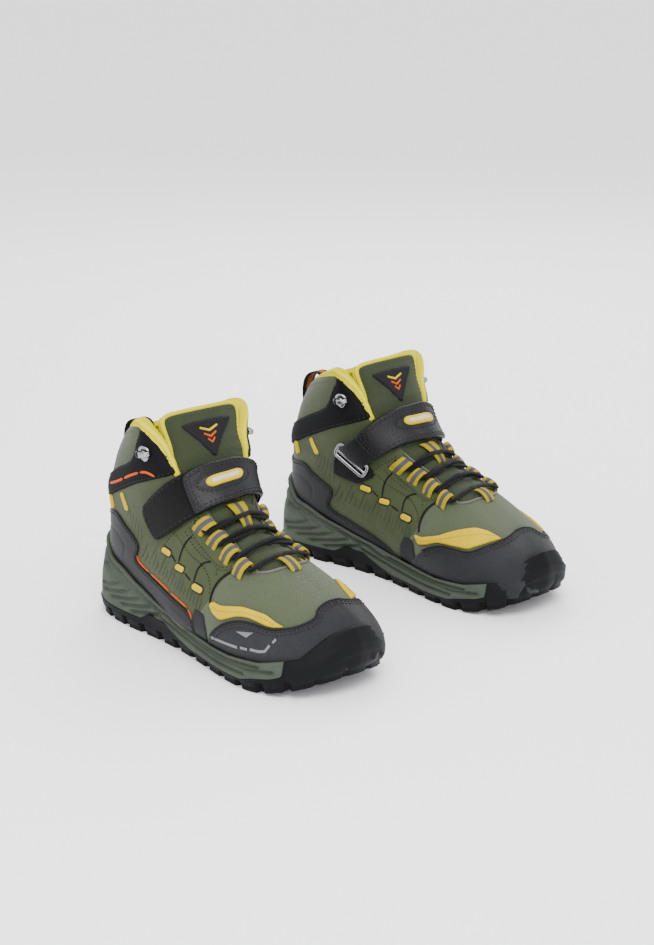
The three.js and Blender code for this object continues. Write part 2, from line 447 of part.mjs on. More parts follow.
// ---------------------------------------------------------------- one boot
function bootParts() {
  const volume = upperVolume(CUP);
  const blank = soleBlank().subtract(volume);
  const above = profilePrism(SPLIT.map(([x, z]) => [x, z]).concat([[260, 60]]), -80, 80, 0);
  const aboveGap = profilePrism(SPLIT.map(([x, z]) => [x + (x > 205 ? 0.35 : 0), z - 0.35]).concat([[260, 60]]), -80, 80, 0);
  const largest = (s) => s.decompose().sort((a, b) => b.volume() - a.volume())[0];
  const midsole = largest(blank.intersect(above));
  let outsole = largest(blank.subtract(aboveGap));
  for (const l of lugs()) outsole = outsole.add(l);
  outsole = outsole.subtract(aboveGap).subtract(volume);
  outsole = largest(outsole);
  const badge = (() => {
    const s = new THREE.Shape(); s.absellipse(0, 0, 5.2, 12.5, 0, 2 * Math.PI);
    return new THREE.ExtrudeGeometry(s, { depth: 1.6, bevelEnabled: false, curveSegments: 10 }).applyMatrix4(frameAt(9.5, 7.8, STRAP_OVER[1] + 0.6));
  })();
  return {
    outsole: [toGeometry(outsole), 0x1d1e1f, 0.8, 0],
    midsole: [toGeometry(midsole), 0x566350, 0.7, 0],
    shank: [panel(SHANK, [1.8, 2.9]), 0x6a6a6a, 0.5, 0],
    lasting_board: [panel(BOARD, [0.0, 1.4]), 0xb9b09a, 0.9, 0],
    footbed: [panel(FOOTBED, [-5.0, -0.35]), 0x30322f, 0.9, 0],
    lining: [panel(LINING_OUT, LINING), 0xd8cf2e, 0.9, 0],
    vamp: [panel(VAMP, SHELL), 0x556045, 0.9, 0],
    quarter_outer: [panel(QUARTER, SHELL), 0x4a5738, 0.9, 0],
    quarter_inner: [panel(mirror(QUARTER), SHELL), 0x4a5738, 0.9, 0],
    toe_cap: [panel(TOE_CAP, OVERLAY), 0x232528, 0.6, 0],
    trim_outer: [panel(TRIM_OUTER, OVERLAY), 0xd9c13a, 0.6, 0],
    trim_inner: [panel(TRIM_INNER, OVERLAY), 0xd9c13a, 0.6, 0],
    heel_counter: [panel(COUNTER, OVERLAY), 0x26282b, 0.6, 0],
    ankle_panel: [panel(ANKLE, OVERLAY), 0x1b1c1e, 0.7, 0],
    tongue: [panel(TONGUE_LOW, TONGUE), 0x4f5c3c, 0.9, 0],
    tongue_top: [panel(TONGUE_TOP, TONGUE), 0x4f5c3c, 0.9, 0],
    tongue_patch: [panel(PATCH, [0.1, 1.1]), 0x1b1c1e, 0.7, 0],
    tongue_loop: [panel(TONGUE_LOOP, [0.05, 1.1]), 0xd9c13a, 0.8, 0],
    eyestay_outer: [laced(wrap(eyestay())), 0x4a5738, 0.8, 0],
    eyestay_inner: [laced(wrap(innerEyestay())), 0x4a5738, 0.8, 0],
    lace: [lace(), 0x16171a, 0.9, 0],
    lace_hook_outer: [laceHook(12.15, 5.55), 0xc9ccd0, 0.3, 1],
    lace_hook_inner: [laceHook(12.15, 10.45), 0xc9ccd0, 0.3, 1],
    strap_base: [panel(STRAP_LOW, STRAP_UNDER), 0x18191b, 1.0, 0],
    strap_free_end: [panel(STRAP_FREE, STRAP_OVER), 0x1f2023, 0.6, 0],
    strap_badge: [badge, 0xd9c13a, 0.4, 0],
    slot_ring: [slotRing(), 0xc9ccd0, 0.25, 1],
    ring_tab: [panel(RING_TAB, [1.95, 3.1]), 0x18191b, 1.0, 0],
    heel_loop: [heelLoop(), 0x1b1c1e, 0.8, 0],
  };
}
// the lace's own path is kept clear through the webbing
function laced(geometry) {
  return toGeometry(toSolid(geometry).subtract(toSolid(lace(LACE_D + 0.7))));
}
function innerEyestay() {
  // the same loops on the inner eyestay
  let s = flatPanel(mirror(EYESTAY), OVERLAY);
  for (const t of LOOP_T)
    s = s.add(slabBox(t - 0.18, t + 0.18, GIRTH - 6.28, GIRTH - 5.34, 2.5, 8.2)).subtract(slabBox(t - 0.4, t + 0.4, GIRTH - 6.1, GIRTH - 5.5, 3.4, 7.4));
  return s;
}

// ---------------------------------------------------------------- the pair
const group = new THREE.Group();
for (const side of ["right", "left"]) {
  const place = PAIR[side], yaw = THREE.MathUtils.degToRad(place.yaw);
  const boot = new THREE.Group();
  boot.rotation.z = yaw - Math.PI / 2;
  boot.position.set(
    place.x - CENTRE[0] - Math.sin(yaw) * HALF_LENGTH,
    place.y - CENTRE[1] + Math.cos(yaw) * HALF_LENGTH,
    0,
  );
  for (const [name, [geometry, color, roughness, metalness]] of Object.entries(bootParts())) {
    let g = geometry.index ? geometry.toNonIndexed() : geometry.clone();
    g.deleteAttribute("normal");
    g.deleteAttribute("uv");
    if (toSignedVolume(g) < 0) g = flip(g);
    if (side === "right") g = flip(g.clone().scale(1, -1, 1));
    g.computeVertexNormals();
    const mesh = new THREE.Mesh(g, new THREE.MeshStandardMaterial({ color, roughness, metalness }));
    mesh.name = side + "_" + name;
    boot.add(mesh);
  }
  group.add(boot);
}
function toSignedVolume(g) {
  const p = g.attributes.position.array;
  let v = 0;
  for (let i = 0; i < p.length; i += 9)
    v += p[i] * (p[i + 4] * p[i + 8] - p[i + 5] * p[i + 7]) - p[i + 1] * (p[i + 3] * p[i + 8] - p[i + 5] * p[i + 6]) + p[i + 2] * (p[i + 3] * p[i + 7] - p[i + 4] * p[i + 6]);
  return v;
}

export default group;
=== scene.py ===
import bpy, bmesh, math, json
import numpy as np
from mathutils import Vector, Matrix
from mathutils.geometry import delaunay_2d_cdt

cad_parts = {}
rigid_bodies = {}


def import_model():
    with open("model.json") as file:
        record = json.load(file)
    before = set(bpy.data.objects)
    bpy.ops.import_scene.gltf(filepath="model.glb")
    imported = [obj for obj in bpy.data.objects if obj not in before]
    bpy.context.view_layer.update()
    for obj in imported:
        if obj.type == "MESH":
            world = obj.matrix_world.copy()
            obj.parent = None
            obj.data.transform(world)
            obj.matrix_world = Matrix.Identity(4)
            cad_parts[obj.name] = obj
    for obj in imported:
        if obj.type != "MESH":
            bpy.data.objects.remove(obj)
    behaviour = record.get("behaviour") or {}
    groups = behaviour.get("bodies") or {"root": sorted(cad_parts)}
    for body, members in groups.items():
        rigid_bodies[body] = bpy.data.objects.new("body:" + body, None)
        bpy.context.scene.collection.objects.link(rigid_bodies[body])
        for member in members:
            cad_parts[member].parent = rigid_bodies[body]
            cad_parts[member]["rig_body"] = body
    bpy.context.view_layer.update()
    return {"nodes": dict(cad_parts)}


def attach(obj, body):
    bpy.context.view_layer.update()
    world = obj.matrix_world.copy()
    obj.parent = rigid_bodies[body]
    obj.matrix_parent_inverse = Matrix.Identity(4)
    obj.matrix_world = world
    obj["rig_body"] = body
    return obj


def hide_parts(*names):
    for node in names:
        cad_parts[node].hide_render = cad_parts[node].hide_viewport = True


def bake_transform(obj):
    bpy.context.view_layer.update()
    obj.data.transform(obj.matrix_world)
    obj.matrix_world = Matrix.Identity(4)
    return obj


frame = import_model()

rng = np.random.default_rng(7)

# ------------------------------------------------------------------ the last (millimetres, local frame of one boot)
RINGS = np.array([
    (231, 27, 231, 20, -7, 1, 1), (228, 36, 231, 17, -7, 15, 14), (220, 44, 223, 15, -5, 27, 26), (206, 52, 207, 14, -3, 38, 35),
    (188, 60, 184, 14, -1, 43.5, 40), (169, 68, 159, 15, 1, 44.5, 41), (150, 74.5, 133, 17, 2, 43, 38), (134, 81.5, 104, 20, 2, 41, 35),
    (122, 90, 70, 23, 1, 39, 35), (111, 101, 32, 26, 0, 37.5, 36), (103, 111, 9, 36, 0, 37, 36), (97, 121, 4, 58, 0, 36, 35.5),
    (92, 131, 6, 82, 0, 37, 36.5), (88, 140, 12, 104, 0, 38, 38), (84, 149, 20, 123, 0, 38, 38)], float)
FOOT = np.array([(0, 0), (0, .55), (.06, .9), (.25, 1), (.5, .93), (.74, .72), (.92, .42), (.995, .15), (1, 0)])
LEG = np.array([(0, 0), (.012, .24), (.06, .47), (.2, .71), (.43, .88), (.7, 1), (.9, .93), (.99, .5), (1, 0)])
TOP = np.array([(0, 0), (.03, .17), (.12, .33), (.27, .52), (.5, .76), (.76, .95), (.93, .97), (.99, .5), (1, 0)])
NR = len(RINGS)


def _net():
    P = np.zeros((NR, 16, 3))
    for i in range(NR):
        ax, az, cx, cz, yc, wl, wm = RINGS[i]
        b = min(max((i - 7) / 4, 0), 1)
        c = min(max((i - 12) / 2, 0), 1)
        sec = FOOT * (1 - b) + (LEG * (1 - c) + TOP * c) * b
        for j in range(16):
            k = j if j <= 8 else 16 - j
            f, g = sec[k]
            P[i, j] = (cx + (ax - cx) * f, yc + (wl if j <= 8 else -wm) * g, cz + (az - cz) * f)
    return P


NET = _net()


def S(t, h):
    t, h = np.broadcast_arrays(np.asarray(t, float), np.asarray(h, float))
    sh = t.shape
    t = np.clip(t.ravel(), 0, NR - 1 - 1e-9)
    h = h.ravel()
    a = np.floor(t).astype(int)
    g = (t - a)[:, None]
    j0 = np.floor(h).astype(int)
    f = (h - j0)[:, None]

    def col(j):
        j = j % 16
        p1, p2 = NET[a, j], NET[np.minimum(a + 1, NR - 1), j]
        p0 = np.where((a == 0)[:, None], 2 * p1 - p2, NET[np.maximum(a - 1, 0), j])
        p3 = np.where((a >= NR - 2)[:, None], 2 * p2 - p1, NET[np.minimum(a + 2, NR - 1), j])
        return .5 * (2 * p1 + (p2 - p0) * g + (2 * p0 - 5 * p1 + 4 * p2 - p3) * g ** 2 + (3 * p1 - p0 - 3 * p2 + p3) * g ** 3)
    q0, q1, q2, q3 = col(j0 - 1), col(j0), col(j0 + 1), col(j0 + 2)
    out = .5 * (2 * q1 + (q2 - q0) * f + (2 * q0 - 5 * q1 + 4 * q2 - q3) * f ** 2 + (3 * q1 - q0 - 3 * q2 + q3) * f ** 3)
    return out.reshape(sh + (3,))


def grads(t, h):
    e = .02
    t = np.asarray(t, float)
    t1, t0 = np.minimum(t + e, NR - 1 - 1e-6), np.maximum(t - e, 0)
    dt = (S(t1, h) - S(t0, h)) / (t1 - t0)[..., None]
    dh = (S(t, np.asarray(h) + e) - S(t, np.asarray(h) - e)) / (2 * e)
    return dt, dh


def N(t, h):
    dt, dh = grads(t, h)
    n = np.cross(dt, dh)
    n /= np.linalg.norm(n, axis=-1, keepdims=True) + 1e-9
    return n * NSIGN


NSIGN = 1.0
if N(np.array([6.0]), np.array([8.0]))[0, 2] < 0:
    NSIGN = -1.0


def skin(t, h, w):
    return S(t, h) + N(t, h) * np.asarray(w)[..., None]


# ------------------------------------------------------------------ placing
POSE = {"right": (-76.0, 0.0, 0.0), "left": (106.6, 22.6, 4.9)}
CENTRE = (17.13, 14.692)


def world(P, side):
    ox, oy, yaw = POSE[side]
    c, s = math.cos(math.radians(yaw)), math.sin(math.radians(yaw))
    P = np.asarray(P, float)
    X = P[..., 1] * (-1 if side == "right" else 1)
    Y = -(P[..., 0] - 120)
    return np.stack([ox + c * X - s * Y - CENTRE[0], oy + s * X + c * Y - CENTRE[1], P[..., 2]], -1) / 1000


# ------------------------------------------------------------------ camera, lights and floor
def camera():
    az, el, D = math.radians(-40.5), math.radians(18.4), 1.330
    back = Vector((math.sin(az) * math.cos(el), -math.cos(az) * math.cos(el), math.sin(el)))
    tgt = Vector((-CENTRE[0] / 1000, -CENTRE[1] / 1000, .06))
    cam = bpy.data.objects.new("camera", bpy.data.cameras.new("camera"))
    bpy.context.collection.objects.link(cam)
    cam.location = tgt + back * D
    up = Vector((0, 0, 1))
    right = up.cross(back).normalized()
    cu = back.cross(right)
    a = math.atan(57 / 2023)
    b = math.atan(-1.6 / 2023)
    fwd = (-back * math.cos(a) + cu * math.sin(a))
    fwd = (fwd + right * math.tan(b)).normalized()
    cam.rotation_euler = fwd.to_track_quat("-Z", "Y").to_euler()
    cam.data.sensor_width = 36
    cam.data.lens = 36 * 2023 / 945
    cam.data.clip_end = 20
    bpy.context.scene.camera = cam


camera()


def lights():
    w = bpy.data.worlds.new("soft")
    w.use_nodes = True
    bg = w.node_tree.nodes["Background"]
    bg.inputs[0].default_value = (.93, .935, .95, 1)
    bg.inputs[1].default_value = 2.05
    bpy.context.scene.world = w

    def area(name, loc, size, power, aim=(0, 0, .06), col=(1, 1, 1)):
        d = bpy.data.lights.new(name, "AREA")
        d.shape, d.size, d.size_y, d.energy, d.color = "RECTANGLE", size, size, power, col
        o = bpy.data.objects.new(name, d)
        bpy.context.collection.objects.link(o)
        o.location = loc
        o.rotation_euler = (Vector(aim) - Vector(loc)).to_track_quat("-Z", "Y").to_euler()
    area("key", (-.55, -.75, 1.35), .9, 27)
    area("rim", (.9, .8, 1.1), .8, 15)
    area("front", (-1.3, -1.0, .45), .7, 6)
    v = np.array([(-6, -6, 0), (6, -6, 0), (6, 6, 0), (-6, 6, 0)], float)
    me = bpy.data.meshes.new("floor")
    me.from_pydata([tuple(p) for p in v], [], [(0, 1, 2, 3)])
    fl = bpy.data.objects.new("floor", me)
    bpy.context.collection.objects.link(fl)
    m = bpy.data.materials.new("floor")
    m.use_nodes = True
    b = m.node_tree.nodes["Principled BSDF"]
    b.inputs["Base Color"].default_value = (.93, .93, .945, 1)
    b.inputs["Roughness"].default_value = .75
    me.materials.append(m)


lights()


# ------------------------------------------------------------------ materials
class Tree:
    def __init__(self, name):
        m = bpy.data.materials.new(name)
        m.use_nodes = True
        self.m, self.t = m, m.node_tree
        self.b = self.t.nodes["Principled BSDF"]

    def n(self, kind, **kw):
        nd = self.t.nodes.new(kind)
        for k, v in kw.items():
            setattr(nd, k, v)
        return nd

    def l(self, a, b):
        self.t.links.new(a, b)

    def obj(self, scale=1000.0, z=1.0):
        tc = self.n("ShaderNodeTexCoord")
        mp = self.n("ShaderNodeMapping")
        mp.inputs["Scale"].default_value = (scale, scale, scale * z)
        self.l(tc.outputs["Object"], mp.inputs[0])
        return mp.outputs[0]

    def pp(self, sx=1.0, sy=1.0, rot=0.0):
        at = self.n("ShaderNodeAttribute", attribute_name="pp")
        mp = self.n("ShaderNodeMapping")
        mp.inputs["Scale"].default_value = (sx, sy, 1)
        mp.inputs["Rotation"].default_value = (0, 0, rot)
        self.l(at.outputs["Vector"], mp.inputs[0])
        return mp.outputs[0]

    def noise(self, vec, scale, detail=3, rough=.6):
        nd = self.n("ShaderNodeTexNoise")
        nd.inputs["Scale"].default_value = scale
        nd.inputs["Detail"].default_value = detail
        nd.inputs["Roughness"].default_value = rough
        self.l(vec, nd.inputs["Vector"])
        return nd.outputs["Fac"]

    def vor(self, vec, scale, feature="F1"):
        nd = self.n("ShaderNodeTexVoronoi", feature=feature)
        nd.inputs["Scale"].default_value = scale
        self.l(vec, nd.inputs["Vector"])
        return nd.outputs["Distance"]

    def wave(self, vec, scale, axis="X", dist=0.0):
        nd = self.n("ShaderNodeTexWave", wave_type="BANDS", bands_direction=axis)
        nd.inputs["Scale"].default_value = scale
        nd.inputs["Distortion"].default_value = dist
        self.l(vec, nd.inputs["Vector"])
        return nd.outputs["Fac"]

    def math(self, op, a, b=None, c=None):
        nd = self.n("ShaderNodeMath", operation=op)
        for i, v in enumerate((a, b, c)):
            if v is None:
                continue
            if isinstance(v, (int, float)):
                nd.inputs[i].default_value = v
            else:
                self.l(v, nd.inputs[i])
        return nd.outputs[0]

    def ramp(self, fac, stops):
        nd = self.n("ShaderNodeValToRGB")
        el = nd.color_ramp.elements
        el[0].position, el[0].color = stops[0][0], (*stops[0][1], 1)
        el[1].position, el[1].color = stops[-1][0], (*stops[-1][1], 1)
        for p, c in stops[1:-1]:
            e = el.new(p)
            e.color = (*c, 1)
        self.l(fac, nd.inputs[0])
        return nd.outputs[0]

    def mix(self, fac, a, b):
        nd = self.n("ShaderNodeMix", data_type="RGBA")
        for i, v in ((0, fac), (6, a), (7, b)):
            if isinstance(v, tuple):
                nd.inputs[i].default_value = (*v, 1)
            elif isinstance(v, (int, float)):
                nd.inputs[i].default_value = v
            else:
                self.l(v, nd.inputs[i])
        return nd.outputs[2]

    def bump(self, h, strength, dist, prev=None):
        nd = self.n("ShaderNodeBump")
        nd.inputs["Strength"].default_value = strength
        nd.inputs["Distance"].default_value = dist
        self.l(h, nd.inputs["Height"])
        if prev is not None:
            self.l(prev, nd.inputs["Normal"])
        return nd.outputs[0]

    def done(self, col=None, rough=None, normal=None, **sock):
        if col is not None:
            if isinstance(col, tuple):
                self.b.inputs["Base Color"].default_value = (*col, 1)
            else:
                self.l(col, self.b.inputs["Base Color"])
        if rough is not None:
            if isinstance(rough, (int, float)):
                self.b.inputs["Roughness"].default_value = rough
            else:
                self.l(rough, self.b.inputs["Roughness"])
        if normal is not None:
            self.l(normal, self.b.inputs["Normal"])
        for k, v in sock.items():
            self.b.inputs[k].default_value = v
        return self.m


def sc(c, k):
    return tuple(min(x * k, 1) for x in c)


def m_leather(name, col, rough=.5, grain=.9, strength=.35, wear=0.0, sheen=0.0, spec=.3, rib=0.0):
    T = Tree(name)
    o = T.obj(1000)
    v = T.vor(o, 1 / grain)
    v2 = T.vor(o, .45 / grain, "SMOOTH_F1")
    n1 = T.noise(o, .06, 4)
    n2 = T.noise(o, 1.4, 3)
    c = T.ramp(n1, [(.3, sc(col, .82)), (.7, sc(col, 1.2))])
    c = T.mix(T.math("MULTIPLY", T.ramp(v, [(.0, (.0, .0, .0)), (.5, (1, 1, 1))]), .35), c, sc(col, 1.35))
    if wear:
        e = T.n("ShaderNodeAttribute", attribute_name="ed").outputs["Fac"]
        k = T.math("MULTIPLY", T.math("SUBTRACT", 1.0, e), T.math("MULTIPLY", n2, wear))
        c = T.mix(k, c, sc(col, 2.6))
    r = T.math("ADD", T.math("MULTIPLY", n2, .22), rough - .11)
    b = T.bump(v, strength, .00025)
    b = T.bump(v2, strength * .6, .0003, b)
    b = T.bump(T.noise(o, .9, 3), strength * .5, .0003, b)
    if rib:
        b = T.bump(T.wave(T.pp(1, 1, .5), .5 / rib, "X", .4), .8, .00035, b)
    return T.done(c, r, b, **{"Sheen Weight": sheen, "Specular IOR Level": spec})


def m_knit(name, col, pitch=.95, light=1.6, dark=.6, rough=.85, strength=.8):
    T = Tree(name)
    p = T.pp(1, 1, math.radians(12))
    a = T.wave(p, 1 / pitch / 6.2832 * 3.14159 * 2 / 1.0 * .5, "X", .8)
    b_ = T.wave(p, 1 / (pitch * .62) * .5, "Y", .8)
    h = T.math("MULTIPLY", a, b_)
    o = T.obj(1000)
    n1 = T.noise(o, 1.1, 2)
    n2 = T.noise(o, .05, 3)
    c = T.ramp(T.math("ADD", T.math("MULTIPLY", h, .65), T.math("MULTIPLY", n1, .5)), [(.18, sc(col, dark)), (.45, col), (.85, sc(col, light))])
    c = T.mix(T.math("MULTIPLY", n2, .35), c, sc(col, .8))
    b = T.bump(h, strength, .0004)
    return T.done(c, rough, b, **{"Sheen Weight": .12, "Sheen Roughness": .5, "Specular IOR Level": .25})


def m_rib(name, col, pitch=1.9, rough=.7, strength=.9, axis="X", light=1.25):
    T = Tree(name)
    p = T.pp(1, 1)
    a = T.wave(p, .5 / pitch, axis, .15)
    fine = T.wave(p, .5 / .5, "Y" if axis == "X" else "X", .3)
    o = T.obj(1000)
    n = T.noise(o, .07, 3)
    c = T.ramp(T.math("ADD", T.math("MULTIPLY", a, .6), T.math("MULTIPLY", n, .4)), [(.15, sc(col, .72)), (.85, sc(col, light))])
    b = T.bump(a, strength, .0004)
    b = T.bump(fine, .25, .00015, b)
    return T.done(c, rough, b, **{"Sheen Weight": .05, "Sheen Roughness": .4, "Specular IOR Level": .2})


def m_pile(name, col):
    T = Tree(name)
    o = T.obj(1000)
    n = T.noise(o, 1.6, 5, .75)
    n2 = T.noise(o, .35, 3)
    v = T.vor(o, 1.5)
    c = T.ramp(T.math("ADD", T.math("MULTIPLY", n, .6), T.math("MULTIPLY", n2, .4)), [(.35, sc(col, .5)), (.6, col), (.8, sc(col, 1.9))])
    b = T.bump(n, 1.0, .0008)
    b = T.bump(v, .6, .0005, b)
    return T.done(c, .95, b, **{"Sheen Weight": .04, "Sheen Roughness": .5, "Specular IOR Level": .15})


def m_web(name, stripes, width, pitch=.9, rough=.65):
    """webbing: stripes across the width as (fraction of half width, colour)"""
    T = Tree(name)
    at = T.n("ShaderNodeAttribute", attribute_name="pp")
    sep = T.n("ShaderNodeSeparateXYZ")
    T.l(at.outputs["Vector"], sep.inputs[0])
    u = T.math("ABSOLUTE", T.math("DIVIDE", sep.outputs[0], width / 2))
    nd = T.n("ShaderNodeValToRGB")
    nd.color_ramp.interpolation = "CONSTANT"
    el = nd.color_ramp.elements
    el[0].position, el[0].color = 0, (*stripes[0][1], 1)
    el[1].position, el[1].color = stripes[1][0], (*stripes[1][1], 1)
    for f, c in stripes[2:]:
        e = el.new(f)
        e.color = (*c, 1)
    T.l(u, nd.inputs[0])
    a = T.wave(T.pp(1, 1), .5 / pitch, "Y", .1)
    b2 = T.wave(T.pp(1, 1), .5 / (pitch * .8), "X", .1)
    k = T.math("MULTIPLY", T.math("SUBTRACT", 1.0, a), .45)
    c = T.mix(k, nd.outputs[0], (.03, .028, .02))
    h = T.math("ADD", a, T.math("MULTIPLY", b2, .5))
    b = T.bump(h, .9, .00035)
    return T.done(c, rough, b, **{"Sheen Weight": .05, "Specular IOR Level": .25})


def m_rubber(name, col, rough=.55, var=.25, grain=.5):
    T = Tree(name)
    o = T.obj(1000)
    n = T.noise(o, .05, 4)
    n2 = T.noise(o, .8, 4)
    c = T.ramp(n, [(.3, sc(col, 1 - var)), (.7, sc(col, 1 + var))])
    r = T.math("ADD", T.math("MULTIPLY", n2, .25), rough - .12)
    b = T.bump(n2, .3, .0002 * grain)
    b = T.bump(T.vor(o, 1.7), .12, .00012, b)
    return T.done(c, r, b, **{"Specular IOR Level": .16})


def m_metal(name, col=(.62, .62, .63), rough=.22):
    T = Tree(name)
    o = T.obj(1000)
    n = T.noise(o, .35, 5, .7)
    c = T.ramp(n, [(.3, sc(col, .8)), (.7, sc(col, 1.15))])
    r = T.math("ADD", T.math("MULTIPLY", T.noise(o, 1.5, 4), .25), rough - .08)
    return T.done(c, r, T.bump(n, .08, .0001), **{"Metallic": 1.0})


def m_gloss(name, col, rough=.3, coat=.3):
    T = Tree(name)
    o = T.obj(1000)
    n = T.noise(o, .12, 4)
    c = T.ramp(n, [(.3, sc(col, .9)), (.7, sc(col, 1.1))])
    r = T.math("ADD", T.math("MULTIPLY", T.noise(o, .9, 3), .2), rough - .08)
    return T.done(c, r, T.bump(T.noise(o, .7, 3), .15, .0002), **{"Coat Weight": coat, "Coat Roughness": .25})


def m_thread(name, col):
    T = Tree(name)
    o = T.obj(1000)
    w = T.noise(o, 3.0, 2)
    c = T.ramp(w, [(.3, sc(col, .7)), (.7, sc(col, 1.3))])
    return T.done(c, .6, T.bump(w, .5, .0002), **{"Specular IOR Level": .3})


GREEN = (.028, .037, .014)
GREEN_V = (.055, .071, .034)
YEL = (.56, .49, .0002)
GOLD = (.43, .30, .0002)
M = {
    "quarter": m_leather("quarter_green", GREEN, .62, .8, .28, wear=.1, sheen=.04),
    "vamp": m_knit("vamp_knit", GREEN_V),
    "rib_dark": m_leather("rib_dark", (.016, .021, .009), .6, .6, .2),
    "cap": m_leather("cap_black", (.0085, .0086, .0102), .55, .9, .3, wear=.05, rib=1.3, spec=.22),
    "cap_dark": m_leather("cap_dark", (.006, .0062, .007), .55, .5, .25),
    "counter": m_leather("counter_grey", (.0075, .0078, .009), .55, .6, .2, wear=.05, spec=.2),
    "ankle": m_leather("ankle_black", (.0032, .0033, .0038), .75, .5, .2, spec=.12),
    "trim": m_gloss("trim_yellow", GOLD, .5, .0),
    "tab": m_gloss("tab_yellow", (.44, .31, .0003), .5, .0),
    "lining": m_rib("lining_yellow", YEL, 1.5, .85, .55, "X", 1.04),
    "tongue": m_rib("tongue_green", (.026, .035, .0145), 1.5, .72, .9, "X", 1.25),
    "patch": m_leather("patch_black", (.0058, .0058, .0065), .6, .8, .45, spec=.2),
    "orange": m_gloss("orange", (.42, .055, .001), .5, .0),
    "tan": m_gloss("tan", (.05, .045, .034), .5, .0),
    "silver": m_gloss("reflective_grey", (.11, .114, .12), .4, .05),
    "strap": m_leather("strap_leather", (.0030, .0031, .0037), .46, 1.5, .6, wear=.05, spec=.22),
    "pile": m_pile("pile_black", (.0026, .0026, .003)),
    "lace": m_rib("lace_black", (.0032, .0032, .0038), .8, .7, .8, "Y", 1.5),
    "cord": m_thread("cord_black", (.005, .005, .0055)),
    "thread_black": m_thread("thread_black", (.004, .004, .0045)),
    "thread_green": m_thread("thread_green", (.02, .028, .01)),
    "thread_gold": m_thread("thread_gold", (.30, .17, .01)),
    "web": m_web("webbing_yellow", [(0, (.085, .08, .09)), (.36, (.44, .33, .0003))], 8.8, 1.0),
    "pull": m_web("webbing_pull", [(0, (.50, .09, .005)), (.42, (.004, .004, .005))], 11, 1.0),
    "steel": m_metal("polished_steel", (.27, .27, .28)),
    "dark_steel": m_metal("dark_steel", (.12, .12, .13), .35),
    "badge": m_gloss("badge_gold", (.46, .33, .001), .3, .2),
    "badge_face": m_gloss("badge_face", (.44, .40, .30), .35, .2),
    "foam": m_rubber("midsole_green", (.040, .050, .036), .66, .12),
    "rubber": m_rubber("outsole_black", (.0028, .0029, .0034), .62, .15),
    "footbed": m_knit("footbed", (.03, .03, .032), .9, 1.4, .7),
    "board": m_knit("board", (.008, .0078, .0075), 1.2, 1.2, .8),
}
for k in ("trim", "tab", "lining", "web", "orange", "thread_gold", "pull", "badge"):
    for n in M[k].node_tree.nodes:
        if n.type == "BSDF_PRINCIPLED":
            n.inputs["Specular IOR Level"].default_value = .08
            n.inputs["Coat Weight"].default_value = 0
            n.inputs["Sheen Weight"].default_value = 0
for k, v in (("lace", .1), ("rubber", .1), ("patch", .12), ("cord", .1), ("counter", .14), ("quarter", .16), ("cap_dark", .15), ("ankle", .08)):
    for n in M[k].node_tree.nodes:
        if n.type == "BSDF_PRINCIPLED":
            n.inputs["Specular IOR Level"].default_value = v


# ------------------------------------------------------------------ mesh helpers
def finish_mesh(side, name, V, F, mat, body, pp=None, ed=None, node=None, smooth=True, recalc=True, mats=None, fmat=None):
    me = bpy.data.meshes.new(side + "_" + name)
    me.from_pydata(world(np.asarray(V), side).tolist(), [], F)
    if smooth:
        me.polygons.foreach_set("use_smooth", [True] * len(me.polygons))
    if pp is not None:
        a = me.attributes.new("pp", "FLOAT_VECTOR", "POINT")
        q = np.zeros((len(V), 3))
        q[:, :2] = np.asarray(pp)[:, :2]
        a.data.foreach_set("vector", q.ravel())
    if ed is not None:
        a = me.attributes.new("ed", "FLOAT", "POINT")
        a.data.foreach_set("value", np.asarray(ed, float))
    for m in ([mat] if mats is None else mats):
        me.materials.append(M[m])
    if fmat is not None:
        me.polygons.foreach_set("material_index", fmat)
    if recalc:
        bm = bmesh.new()
        bm.from_mesh(me)
        bmesh.ops.recalc_face_normals(bm, faces=bm.faces)
        bm.to_mesh(me)
        bm.free()
    me.update()
    o = bpy.data.objects.new(side + "_" + name, me)
    bpy.context.collection.objects.link(o)
    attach(o, side + "_" + body)
    if node:
        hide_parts(*[side + "_" + n for n in ([node] if isinstance(node, str) else node)])
    return o


def seg_len(P):
    return np.concatenate([[0], np.cumsum(np.linalg.norm(np.diff(P, axis=0), axis=1))])


def resample(path, step, closed=False, n=None):
    """(t, h) path resampled at equal 3-D steps"""
    path = np.asarray(path, float)
    if closed:
        path = np.vstack([path, path[:1]])
    fine = []
    for a, b in zip(path[:-1], path[1:]):
        fine.append(a + (b - a) * np.linspace(0, 1, 12, endpoint=False)[:, None])
    fine = np.vstack(fine + [path[-1:]])
    L = seg_len(S(fine[:, 0], fine[:, 1]))
    k = n or max(int(round(L[-1] / step)), 3)
    q = np.linspace(0, L[-1], k + 1)
    out = np.stack([np.interp(q, L, fine[:, 0]), np.interp(q, L, fine[:, 1])], 1)
    return out[:-1] if closed else out


def smooth_line(path, closed=False, it=2, keep=()):
    """corner cutting; points listed in keep stay sharp"""
    P = [(*p, i in keep) for i, p in enumerate(path)]
    for _ in range(it):
        Q = []
        n = len(P)
        rngi = range(n) if closed else range(n - 1)
        if not closed:
            Q.append(P[0])
        for i in rngi:
            a, b = P[i], P[(i + 1) % n]
            if a[2]:
                Q.append(a)
            else:
                Q.append((a[0] * .75 + b[0] * .25, a[1] * .75 + b[1] * .25, False))
            if not b[2]:
                Q.append((a[0] * .25 + b[0] * .75, a[1] * .25 + b[1] * .75, False))
        if not closed:
            Q.append(P[-1])
        P = Q
    return np.array([(p[0], p[1]) for p in P])


